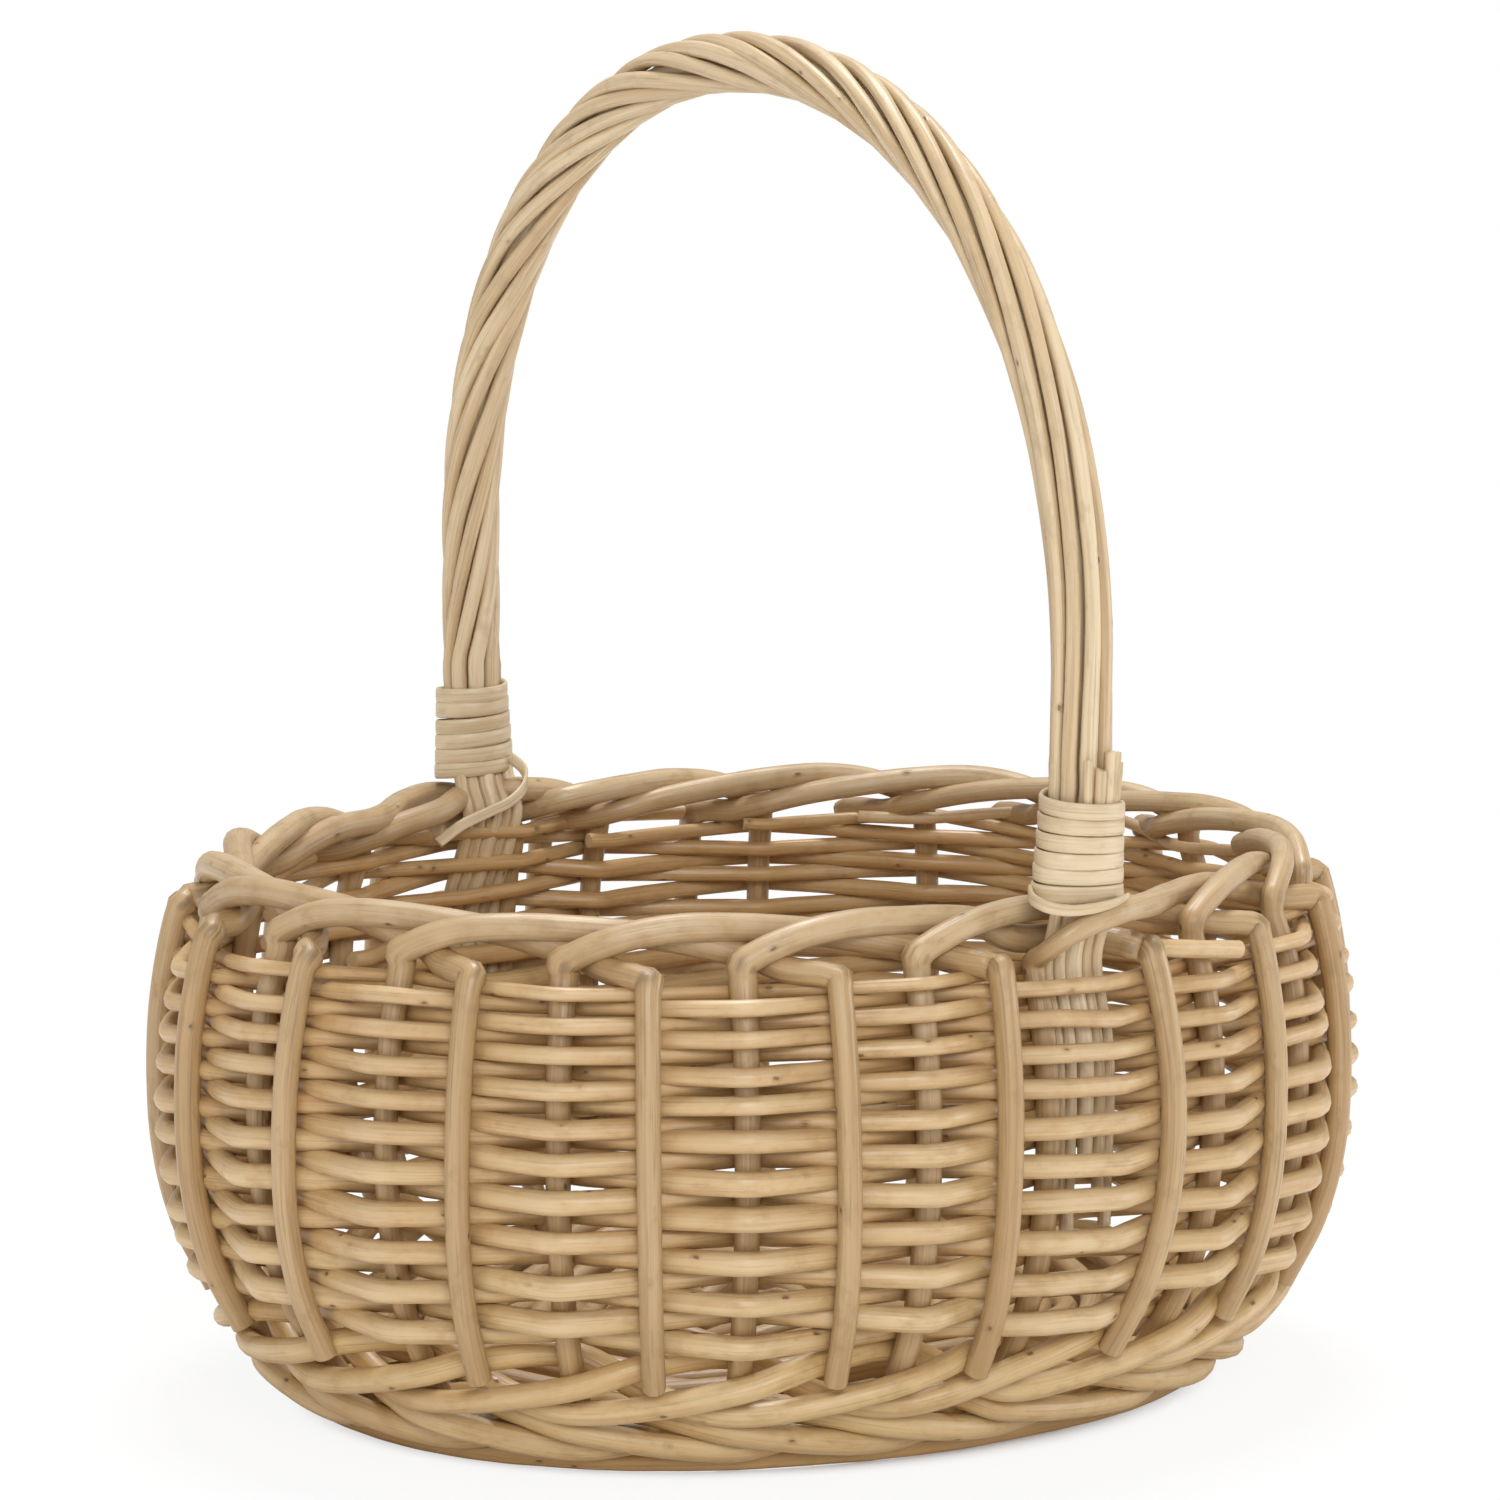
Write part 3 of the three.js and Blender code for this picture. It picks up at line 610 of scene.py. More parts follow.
# A stake rises in the weave, kinks over at the border, passes inside two neighbours and comes down as a rib
def stake_path(stake, rng):
    place = stake_place(stake)
    steps = []

    def push(point, radius, highlit=0.0):
        steps.append((point, radius, highlit))

    for inside in (TOE_LENGTH, TOE_BEND):
        push(at(place, wall_inset(0) - inside, FOOT_FLAT), UPRIGHT_R)
    for part in UPRIGHT_PARTS:
        push(on_wall(place, part * BORDER_Z, 0), UPRIGHT_R)
    rim_line = wall_inset(RIM_Z)
    border_r = border_radius(stake)

    # A place along the girth, layers out from the rim line, layers up and the share of the full radius. The
    # higher layers of the border get a painted highlight on top
    def border(where, out, rise, scale=1.0):
        push(at(where, rim_line + out * LAY, BORDER_Z + rise * LAY), border_r * scale, min(max(rise, 0), 1))

    crown = rng.uniform(-CROWN_VARY, CROWN_VARY)
    if is_foot(stake):
        border(place, 0.3, -0.6, 0.8)
        border(place + 0.01, 0.8, -0.2, 0.78)
        border(place + 0.06, 1.3, 0.26, 0.8)
        border(place + 0.16, 1.55, 0.68, 0.86)
        border(stake + 0.2, 1.45, 1.12, 0.92)
        border(stake + 0.56, 0.5, 1.05)
    else:
        border(place, 0.14, -0.5)
        border(place, 0.14, -0.1)
        border(place + 0.03, 0.12, 0.16)
        border(place + 0.3, -0.08, 0.9)
        border(place + 0.62, -0.46, 1.22 + crown)
    next_rise = 0.84 if is_foot(stake) else 1.16 + crown
    border(stake + 1, BACK_BORDER if stake + 1 == HALF_ROUND else -0.98, next_rise)
    border(stake + 1.5, -1.29, 0.83)
    if is_foot(stake + 2):
        border(stake + 2 - FOOT_SHIFT, BACK_BORDER if stake + 2 == HALF_ROUND else -1.08, 0.12)
        border(stake + 2.22, BACK_BORDER if stake + 2 == HALF_ROUND else -1.05, -0.1)
        border(stake + 2.38, 0.1, -0.3)
    else:
        border(stake + 1.86, -1.12, 0.42)
        border(stake + 2.06, -0.98, 0.12)
        border(stake + 2.26, -0.1, -0.26)
    rib_place, rib_lift = rib_seat(stake)
    aside, bow, lean = RIB_HABITS.get(stake, (0, 0, 0))
    rib_place += aside + rng.uniform(-RIB_VARY, RIB_VARY)
    rib_top = BORDER_Z - 0.85 * LAY
    push(at(rib_place - 0.05, rim_line + 0.72 * LAY, BORDER_Z - 0.36 * LAY), RIB_R)
    push(at(rib_place, rim_line + 0.92 * LAY, BORDER_Z - 0.52 * LAY), RIB_R)
    lean += rng.uniform(-RIB_LEAN_VARY, RIB_LEAN_VARY)
    for part in RIB_PARTS:
        z = rib_top + (RIB_END_Z - rib_top) * part
        spot = rib_place + lean * part + bow * math.sin(math.pi * part)
        push(on_wall(spot, z, row_radius_at(z) + rib_lift), RIB_R * (1 - RIB_TAPER * part))
    return zip(*steps)


for stake in range(STAKES):
    node = f"stake_{stake:02d}"
    path, radii, painted_light = stake_path(stake, random.Random(STAKE_PATH_SEED + stake))
    rod = dict(points=path, radius=radii, uneven=0.03, step=STAKE_STEP, painted_light=painted_light)
    add_rods(f"{node}_rod", node, "stake_willow", [rod], STAKE_SEED + stake)


# Waves of the sag round the wall, and how fast they may drift with height
SAG_COUNTS = (2, 3, 5, 7, 10)
SAG_DRIFT = 60


# The rows rise and fall together, as they were pressed down by hand
def sag_field(rng):
    parts = []
    for count in SAG_COUNTS:
        parts.append((count, rng.uniform(0, TURN), rng.uniform(-SAG_DRIFT, SAG_DRIFT), count ** -0.5))
    total = sum(size for *_, size in parts)

    def sag(place, z):
        waved = sum(size * math.sin(TURN * count * place / STAKES + phase + drift * z)
                    for count, phase, drift, size in parts)
        return SAG * waved / total * 2

    return sag


SAG_AT = sag_field(random.Random(SAG_SEED))

# Each row ends inside, just past a stake. The top row is of two rods, with a stub cut off outside
LOW_ENDS = range(5, 12)
HIGH_ENDS = (3, 12)
LOW_END_ROWS = 13
TOP_JOIN = 8
END_RUN = 0.14
END_TUCK = 1.6
# How close a row lies to the stakes, and the parts of the way from one stake to the next where it bends
ROW_PRESS = 0.94
BEND_PARTS = (0, 0.17, 0.83)
# The rows near the rim rise towards the far side, and all but the lowest dip near the left end
BACK_RISE = 0.0024
RISE_POWER = 5
END_DIP = 0.0035
END_PLACE = 13.9
DIP_ROWS = 4
# Radius from row to row, taper, slant of the ends, and tint, which a painted shade makes warmer and darker
# towards the rim, with the lower rows paler as if lit from the floor
ROW_VARY = (0.93, 1.08)
ROW_TAPER = 0.12
ROW_SLANT = 0.1
PAINTED_SHADE_CLIMB = 0.6
TINT_SPREAD = 0.4
# Short rods on the top row, by place, height above the row and distance off the wall
STUB_R = 0.00185
BACK_STUB_R = 0.0013
STUB = ((0.44, 0.0028, 0.0036), (0.6, 0.0018, 0.0042), (0.85, 0.0004, 0.0048), (1.17, -0.0012, 0.0056))
BACK_STUB = ((7.42, 0.0055, -0.0058), (7, 0.005, -0.0052), (6.5, 0.005, -0.001), (6, 0.0045, 0.0042),
             (5.5, 0.004, 0.001), (5, 0.0035, -0.0042), (4.5, 0.003, 0))
# Stakes of the far wall
FAR_STAKES = range(4, 13)


# A rod of a row goes in front of one stake and behind the next, and starts on the side away from the viewer
def row_path(k, rng, first, last):
    z, _, radius = ROW_LIST[k]
    swing = UPRIGHT_R + ROW_PRESS * radius
    bends = []

    def bend(place, off):
        rise = BACK_RISE * (k / (ROWS - 1)) ** RISE_POWER * max(-math.cos(TURN * place / STAKES), 0)
        dip = END_DIP * math.exp(-(place % STAKES - END_PLACE) ** 2) * min(k / DIP_ROWS, 1)
        bends.append((place, z + rise - dip + SAG_AT(place, z) + rng.gauss(0, ROW_KINK), off))

    bend(stake_place(first) - END_RUN / 2, swing if first % STAKES in FAR_STAKES else -swing)
    for stake in range(first + 1, last + 1):
        off = -swing if (stake + k) % 2 else swing
        if stake == last:
            off -= END_TUCK * radius
        if is_foot(stake):
            bend(stake - FOOT_SHIFT, off)
            bend(stake + FOOT_SHIFT / 2, off)
        else:
            bend(stake_place(stake), off)
    bend(stake_place(last) + END_RUN, off)
    path = []
    for here, there in zip(bends, bends[1:]):
        for part in BEND_PARTS:
            path.append([a + (b - a) * part for a, b in zip(here, there)])
    path.append(bends[-1])
    # Where the row passes outside a stake it gets a painted highlight
    return [beside_wall(*spot, swing) for spot in path], [max(off / swing, 0) for *_, off in path]


for k in range(ROWS):
    node = f"weaver_row_{k + 1:02d}"
    rng = random.Random(ROW_PATH_SEED + k)
    radius = ROW_LIST[k][2] * rng.uniform(*ROW_VARY)
    ends = LOW_ENDS if k < LOW_END_ROWS else HIGH_ENDS
    first = rng.choice([stake for stake in ends if (stake + k) % 2])
    spans = [(first, first + STAKES)]
    if k == ROWS - 2:
        spans = [(TOP_JOIN + 1, TOP_JOIN + 1 + STAKES)]
    if k == ROWS - 1:
        spans = [(2, TOP_JOIN), (TOP_JOIN, STAKES)]
    rods = []
    for span in spans:
        points, painted_light = row_path(k, rng, *span)
        rods.append(dict(points=points, radius=radius, taper=ROW_TAPER, painted_light=painted_light))
    if k == ROWS - 1:
        for stub, stub_radius in ((STUB, STUB_R), (BACK_STUB, BACK_STUB_R)):
            stub_points = [on_wall(place, TOP_ROW_Z + rise, off) for place, rise, off in stub]
            # The stubs get a painted highlight all along
            rods.append(dict(points=stub_points, radius=stub_radius, painted_light=[1] * len(stub)))
    rods = [dict(rod, sides=ROW_SIDES, slant=ROW_SLANT) for rod in rods]
    # Painted shade: the upper rows are drawn warmer and darker, the lower ones paler
    painted_shade = PAINTED_SHADE_CLIMB * k / (ROWS - 1)
    add_rods(f"{node}_rod", node, "weaver_willow", rods, ROW_SEED + k,
             (painted_shade, painted_shade + TINT_SPREAD))

# Lifts of a wale rod in the lower and the upper round: outside twice, going in, behind, coming out
WALE_LIFTS = ((0.65, -0.35, -0.6, -0.1, 0.65), (-0.3, 0.95, 1.45, 1.0, -0.25))
# At each of three stakes in turn: how far past the stake, which side of the wall and which lift
WALE_STAGES = (((0, 1, 0),), ((0, 1, 1), (0.5, 0, 2)), ((0, -1, 3), (0.5, 0, 4)))
WALE_SWING = STAKE_R + WALE_R - GAP
WALE_START = 11
WALE_CLIMB = 5
WALE_LEVEL = 1.5
WALE_SAG = 0.5
WALE_SAG_Z = 0.02
WALE_HEIGHTS = [up_wall(FOOT_ROD_Z, WALE_STEP * level / 2) for level in range(4 * WALE_ROUNDS + 5)]


def wale_z(level):
    return float(np.interp(level * 2, range(len(WALE_HEIGHTS)), WALE_HEIGHTS))


# Three-rod wale: each rod goes outside two stakes and behind one, twice round the wall
def wale_path(first):
    steps = []
    total = WALE_ROUNDS * STAKES - WALE_CLIMB

    def push(step, off, stage):
        rounds = math.floor(step / STAKES)
        lift = WALE_LIFTS[rounds][stage]
        climbed = max(step - rounds * STAKES - (STAKES - WALE_CLIMB), 0) / WALE_CLIMB
        level = WALE_LEVEL + 2 * (rounds + (climbed if rounds < WALE_ROUNDS - 1 else 0)) + lift
        stake = WALE_START + step
        place = stake_place(round(stake)) if round(stake) == stake else stake
        point = on_wall(place, wale_z(level) + WALE_SAG * SAG_AT(place, WALE_SAG_Z), off)
        # Where the wale rod passes outside a stake it gets a painted highlight
        steps.append((point, max(off / WALE_SWING, 0)))

    for step in range(first, total):
        for further, swing, stage in WALE_STAGES[(step - first) % 3]:
            push(step + further, swing * WALE_SWING, stage)
    return zip(*steps)


for first, letter in enumerate("abc"):
    node = f"wale_rod_{letter}"
    points, painted_light = wale_path(first)
    rod = dict(points=points, radius=WALE_THICK_R, taper=0.06, uneven=0.06, painted_light=painted_light)
    add_rods(f"{node}_rod", node, "wale_willow", [rod], WALE_SEED + first)

# The foot rod runs round the outside of the turned-up stakes
FOOT_ROD_OFF = STAKE_R + WALE_R - 6 * GAP
FOOT_ROD_START = 5
foot_points = []
for stake in range(FOOT_ROD_START, FOOT_ROD_START + STAKES + 1):
    foot_points.append(on_wall(stake_place(stake), FOOT_ROD_Z, FOOT_ROD_OFF))
add_rods("foot_rod_round", "foot_rod", "wale_willow",
         [dict(points=foot_points, radius=FOOT_ROD_R, taper=0.05)], FOOT_ROD_SEED)

# Handle: a bow core with rods roped round it, held in the weave by its fanned ends
ROPE_ANGLE = math.pi / ROPE_RODS
ROPE_LEAN = 0.86
ROPE_SHARE = 2 * math.sin(ROPE_ANGLE) * ROPE_LEAN
ROPE_R = (HANDLE_R * ROPE_SHARE - GAP) / (2 + ROPE_SHARE)
ROPE_LINE = HANDLE_R - ROPE_R
CORE_R = ROPE_LINE - ROPE_R - 2.4 * GAP
CORE_END_R = FAN_CORE_R * 0.7
LEG_LOW_Z = CANE_HIGH_Z + HANDLE_R
FAN_TOP_Z = TOP_ROW_Z + FAN_CORE_R
# Rows at which the fanned rods bend to the wall, and at which the core and the rods end
FAN_BEND_Z = ROW_LIST[14][0]
CORE_END_Z = ROW_LIST[7][0]
FAN_END_ZS = [ROW_LIST[row][0] for row in (4, 6, 8)]
FAN_OUT = 2 * GAP
BIND_TOP_Z = CANE_HIGH_Z + FAN_CORE_R
BIND_LOW_Z = CANE_LOW_Z - FAN_CORE_R
STOP_OUT = -FAN_ROD_R - FAN_CORE_R
# At the back foot the fan leans in, so that it passes inside the border
BACK_LEAN = ((BIND_LOW_Z, -0.006), (BORDER_Z + LAY / 2, -0.0085))
BACK_TUCK = -0.003
# From this share of the rope on a rod counts as a wide one, and where the rods that stop inside lie
WIDE_SHARE = 0.6
STOP_WIDE = 1.65
STOP_NARROW = 0.57
# Twist of the rope along the bow: at first, how much it falls, where that starts and how long it takes
TWIST_FIRST = 1.3
TWIST_FALL = 1.1
FALL_START = 0.6
FALL_SPAN = 0.3
ROPE_WANDER = 0.3
WANDER_WAVES = (0.25, 1.2)
ROPE_FAT = (0.98, 1.3)
# Fineness of the bow and of what is wound along it
BOW_STEPS = 360
BOW_NUDGE = 0.01
TWIST_STEPS = 800
PRESS_STEPS = 240
ARCH_STEPS = 60
CORE_STEPS = 24


def bow_table():
    angle = np.linspace(0, math.pi, BOW_STEPS + 1)
    c, s = np.cos(angle), np.sin(angle)
    rise = HANDLE_TOP_Z - HANDLE_SPRING_Z
    height = np.abs(s) ** (2 / ARCH_POWER)
    arch_y = HANDLE_HALF_SPAN * np.sign(c) * np.abs(c) ** (2 / ARCH_POWER) + BOW_LEAN * height
    arch_z = HANDLE_SPRING_Z + rise * height
    y = np.concatenate([[HANDLE_HALF_SPAN], arch_y, [-HANDLE_HALF_SPAN]])
    z = np.concatenate([[LEG_LOW_Z], arch_z, [LEG_LOW_Z]])
    length = run_length(y, z)
    return y, z, length / length[-1]


BOW_Y, BOW_Z, BOW_T = bow_table()


def bow_at(t):
    return np.array([0, np.interp(t, BOW_T, BOW_Y), np.interp(t, BOW_T, BOW_Z)])


def bow_frame(t):
    along = bow_at(min(t + BOW_NUDGE, 1)) - bow_at(max(t - BOW_NUDGE, 0))
    out = np.cross(along, (1, 0, 0))
    return bow_at(t), out / np.linalg.norm(out)


# The rope turns evenly from the back foot over the top, then ever less down to the front foot
def where_twisted(wanted):
    t = np.linspace(0, 1, TWIST_STEPS + 1)
    late = np.clip((t - FALL_START) / FALL_SPAN, 0, 1)
    twisted = np.cumsum(TWIST_FIRST - TWIST_FALL * late**2 * (3 - 2 * late))
    return float(np.interp(wanted, (twisted - twisted[0]) / (twisted[-1] - twisted[0]), t))


def foot_point(side, across, out, z):
    return np.array([across, side * (HANDLE_HALF_SPAN + out), z])


def fan_point(side, across, z):
    stake = 0 if side < 0 else HALF_ROUND
    off = BACK_TUCK if side > 0 and z == FAN_TOP_Z else 0
    return on_wall(stake - side * across / STAKE_SPACE, z, off)


# The stretch between a binding and the weave
def leg_end(side, across, out):
    if side < 0:
        return [foot_point(side, across, out, BIND_LOW_Z)]
    return [foot_point(side, across, out + lean, z) for z, lean in BACK_LEAN]


# The outer rods fan down into the weave, and the inner ones stop under the binding
def rope_foot(side, angle, index):
    across, out = math.cos(angle), math.sin(angle)
    is_wide = abs(across) > WIDE_SHARE
    sign = math.copysign(1, across)
    points = [foot_point(side, across * ROPE_LINE, out * ROPE_LINE, BIND_TOP_Z)]
    radii = [ROPE_R]
    if out > 0:
        place = sign * (FAN_INNER + FAN_PITCH if is_wide else FAN_INNER)
        points += leg_end(side, place, FAN_OUT)
        end_z = FAN_END_ZS[index % len(FAN_END_ZS)]
        points += [fan_point(side, place, z) for z in (FAN_TOP_Z, FAN_BEND_Z, end_z)]
        radii += [FAN_THICK_R] * (len(points) - 1)
    else:
        place = sign * (STOP_WIDE if is_wide else STOP_NARROW) * FAN_PITCH
        points.append(foot_point(side, place, STOP_OUT, BIND_LOW_Z))
        radii.append(FAN_ROD_R)
    return points, radii


# The rods of the rope were drawn tight, so that their outer sides lie in one round
ROPE_SHELL = HANDLE_R + 0.0001
ROPE_SOFT = 0.88 * ROPE_SHELL


def press_rope(line, offset):
    spots = np.array([bow_at(t) for t in np.linspace(0, 1, PRESS_STEPS + 1)])
    along = unit(np.gradient(spots, axis=0))
    nearest = ((line[:, None, :] - spots[None]) ** 2).sum(axis=2).argmin(axis=1)
    middle, axis = spots[nearest][:, None, :], along[nearest][:, None, :]
    away = line[:, None, :] + offset - middle
    radial = away - axis * (away * axis).sum(axis=2, keepdims=True)
    reach = np.linalg.norm(radial, axis=2, keepdims=True)
    room = ROPE_SHELL - ROPE_SOFT
    pressed = ROPE_SOFT + room * np.tanh(np.maximum(reach - ROPE_SOFT, 0) / room)
    is_pressed = (reach > ROPE_SOFT) & (line[:, None, 2:] > LEG_LOW_Z)
    pull = np.where(is_pressed, pressed / np.maximum(reach, 1e-9) - 1, 0)
    return offset + radial * pull


for index in range(ROPE_RODS):
    rng = random.Random(ROPE_PATH_SEED + index)
    wander = waves(rng, *WANDER_WAVES)
    start = ROPE_ANGLE + TURN * index / ROPE_RODS
    points, radii = [row[::-1] for row in rope_foot(1, start, index)]
    for i in range(ARCH_STEPS + 1):
        share = i / ARCH_STEPS
        strayed = ROPE_WANDER * wander(share) * math.sin(math.pi * share)
        angle = start + TURN * ROPE_TURNS * share + strayed
        point, out = bow_frame(where_twisted(share))
        aside = np.array([math.cos(angle) * ROPE_LINE, 0, 0])
        points.append(point + aside + out * math.sin(angle) * ROPE_LINE)
        radii.append(ROPE_R)
    low_points, low_radii = rope_foot(-1, start + TURN * ROPE_TURNS, index)
    fat = rng.uniform(*ROPE_FAT)
    node = f"handle_rope_rod_{index + 1}"
    rod = dict(points=points + low_points, radius=[r * fat for r in radii + low_radii], uneven=0.08,
               taper=0.1, up=(0, 1, 0), press=press_rope)
    add_rods(f"{node}_wound", node, "handle_willow", [rod], ROPE_SEED + index)


# The core runs from the weave at the back over the bow to the weave at the front, and is thinner at its ends
def core_leg(side):
    points = [fan_point(side, 0, z) for z in (CORE_END_Z, FAN_BEND_Z, FAN_TOP_Z)]
    points += leg_end(side, 0, FAN_OUT / 2)[::-1] + [foot_point(side, 0, 0, BIND_TOP_Z)]
    radii = [CORE_END_R] + [FAN_CORE_R] * (len(points) - 2) + [CORE_R]
    return list(zip(points, radii))


core_bow = [(bow_at(i / CORE_STEPS), CORE_R) for i in range(CORE_STEPS + 1)]
core_points, core_radii = zip(*core_leg(1), *core_bow, *core_leg(-1)[::-1])
add_rods("handle_core_rod", "handle_core", "handle_willow",
         [dict(points=core_points, radius=core_radii, up=(0, 1, 0))], CORE_SEED)

# Cut ends of spare rods that the front binding holds, given by their turn round the leg in degrees
SPARE_TURNS = (118, 97, 78, 60, 44)
SPARE_R = 0.00115
SPARE_VARY = (0.85, 1.15)
SPARE_RISE = (0.0055, 0.0105)
spares = []
rng = random.Random(SPARE_PATH_SEED)
for degrees in SPARE_TURNS:
    across = math.cos(math.radians(degrees))
    out = math.sin(math.radians(degrees))
    high = CANE_HIGH_Z + rng.uniform(*SPARE_RISE)
    # Distance from the middle of the leg, and height
    route = ((0.0048, CANE_LOW_Z + 0.008), (0.0066, CANE_HIGH_Z - 0.002), (0.0072, high - 0.003),
             (0.0074, high))
    spares.append(dict(
        points=[foot_point(-1, across * reach, out * reach, z) for reach, z in route],
        radius=SPARE_R * rng.uniform(*SPARE_VARY), sides=THIN_SIDES, up=(0, 1, 0), slant=0.8))
add_rods("spare_rod_ends", None, "handle_willow", spares, SPARE_SEED)

# Cane bindings: one flat strand wound round each foot
CANE_CLEAR = 2 * GAP + CANE_THICK / 2
BIND_FRONT = FAN_OUT + FAN_CORE_R
BIND_BACK = STOP_OUT - FAN_ROD_R
BIND_DEEP = (BIND_FRONT - BIND_BACK) / 2 + 2 * GAP + CANE_CLEAR
BIND_MIDDLE = (BIND_FRONT + BIND_BACK) / 2
BIND_WIDE = FAN_EDGE + 3 * GAP + CANE_CLEAR
BIND_ROUND = HANDLE_R + CANE_CLEAR
FRONT_SPREAD = 0.001
# Half breadth, half depth and middle of each binding, at its foot and at its top
BINDINGS = {
    "front": ((BIND_WIDE + FRONT_SPREAD, BIND_DEEP, BIND_MIDDLE),
              (BIND_ROUND + SPARE_R / 2, BIND_ROUND + SPARE_R / 2, SPARE_R / 2)),
    "back": ((BIND_WIDE, BIND_DEEP, BIND_MIDDLE), (BIND_ROUND, BIND_ROUND, 0)),
}
CANE_STEPS = 28
CANE_STEP = 0.0006
CANE_UNEVEN = 0.05
CANE_WAVES = (0.01, 0.08)
CANE_DRIFT = 0.0004
DRIFT_WAVES = (5, 23)
CANE_TINT = 0.4
WOUND_WIDTH = 1.17 * CANE_WIDTH
TAIL_WIDTH = 0.85 * CANE_WIDTH
# Outline of the strand, across and over, as shares of its width and thickness
CANE_SECTION = [(-0.5, -0.2), (-0.5, 0.1), (-0.46, 0.3), (-0.36, 0.42), (-0.2, 0.48),
                (0, 0.5), (0.2, 0.48), (0.36, 0.42), (0.46, 0.3), (0.5, 0.1),
                (0.5, -0.2), (0.4, -0.45), (0.15, -0.5), (-0.15, -0.5), (-0.4, -0.45)]


# A flat strand along a line: its wide way follows a given direction, its edges are rounded
def strand_mesh(rng, points, wide_ways, width):
    line, _, s = smooth(points, [0] * len(points), CANE_STEP)
    spread = np.linspace(0, s[-1], len(points))
    ways = np.stack([np.interp(s, spread, np.array(wide_ways, float)[:, i]) for i in range(3)], axis=1)
    tangent = unit(np.gradient(line, axis=0))
    wide = unit(ways - tangent * (ways * tangent).sum(axis=1, keepdims=True))
    face = np.cross(tangent, wide)
    across, over = np.array(CANE_SECTION).T
    vary = 1 + CANE_UNEVEN * waves(rng, *CANE_WAVES)(s)
    verts = (line[:, None, :] + wide[:, None, :] * (across[None, :, None] * width * vary[:, None, None])
             + face[:, None, :] * (over[None, :, None] * CANE_THICK))
    grain = np.stack([
        np.repeat(across[None, :] * width, len(s), axis=0),
        np.repeat(over[None, :] * CANE_THICK, len(s), axis=0),
        np.repeat(s[:, None], len(CANE_SECTION), axis=1) + next_grain(),
    ], axis=2)
    flat = np.zeros(verts.shape[:2])
    return [verts, grain, flat, flat, flat]


def binding_points(side, low_shape, top_shape, rng):
    total = CANE_STEPS * CANE_LOOPS
    drift = waves(rng, *DRIFT_WAVES)
    points = []
    for i in range(total + 1):
        angle = TURN * i / CANE_STEPS
        share = i / total
        across, out, middle = [low + (high - low) * share for low, high in zip(low_shape, top_shape)]
        z = CANE_LOW_Z + (CANE_HIGH_Z - CANE_LOW_Z) * share + CANE_DRIFT * drift(angle)
        points.append(foot_point(side, math.cos(angle) * across, middle + math.sin(angle) * out, z))
    return points


def add_strand(name, node, points, ways, width, seed):
    tube = strand_mesh(random.Random(seed), points, ways, width)
    add_piece(name, node, "cane", [tube], [CANE_TINT])


for side, word in ((-1, "front"), (1, "back")):
    wound = binding_points(side, *BINDINGS[word], random.Random(BINDING_PATH_SEED + side))
    ways = [(0, 0, -side)] * len(wound)
    node = f"cane_binding_{word}"
    add_strand(f"{node}_strand", node, wound, ways, WOUND_WIDTH, BINDING_SEED + side)

# Loose ends of the cane: a twisted turn under the front binding, and a tail laid over the border at the back
FRONT_TAIL = [(-0.0105, -0.003, 0.1190), (-0.0130, 0.001, 0.1178), (-0.0122, 0.0045, 0.1166),
              (-0.0085, 0.0064, 0.1158), (-0.003, 0.0070, 0.1157), (0.003, 0.0066, 0.1161),
              (0.008, 0.005, 0.1166)]
BACK_TAIL = [(0.0065, -0.006, 0.1215), (0.0082, -0.0085, 0.1188), (0.0068, -0.0108, 0.1155),
             (0.002, -0.0122, 0.1126), (-0.0044, -0.0128, 0.1108), (-0.0124, -0.0132, 0.1084),
             (-0.0187, -0.0136, 0.1052)]
TAIL_TURN = 1.2
for side, word, route in ((-1, "front", FRONT_TAIL), (1, "back", BACK_TAIL)):
    points = [foot_point(side, *spot) for spot in route]
    turn = np.linspace(0, TAIL_TURN, len(points))
    ways = [(0.4 * math.sin(t), 0.5 * side * math.sin(t), math.cos(0.7 * t)) for t in turn]
    add_strand(f"cane_tail_{word}", None, points, ways, TAIL_WIDTH, TAIL_SEED + side)

# Woven base: two long sticks threaded through two split cross sticks, a weaver wound in from the edge
BASE_SWING = BASE_STICK_R + BASE_WEAVER_R + 2.5 * GAP
BASE_Z = 2 * STAKE_R + GAP + BASE_SWING + BASE_WEAVER_R
EDGE_X = HALF_LENGTH - BASE_EDGE
EDGE_Y = HALF_WIDTH - BASE_EDGE
SLOT_LONG = LONG_STICK_Y + BASE_STICK_R + GAP
SLOT_NECK = SLOT_LONG + 2 * BASE_STICK_R


def stick_reach(across, edge_along, edge_across):
    return edge_along * math.sqrt(1 - (across / edge_across) ** 2) + BASE_WEAVER_R


long_reach = stick_reach(LONG_STICK_Y, EDGE_X, EDGE_Y)
for i, y in enumerate((-LONG_STICK_Y, LONG_STICK_Y)):
    line = [(x, y, BASE_Z) for x in np.linspace(-long_reach, long_reach, 9)]
    node = f"base_long_stick_{i + 1}"
    add_rods(f"{node}_rod", node, "base_willow",
             [dict(points=line, radius=BASE_STICK_R, taper=0.05)], LONG_STICK_SEED + i)

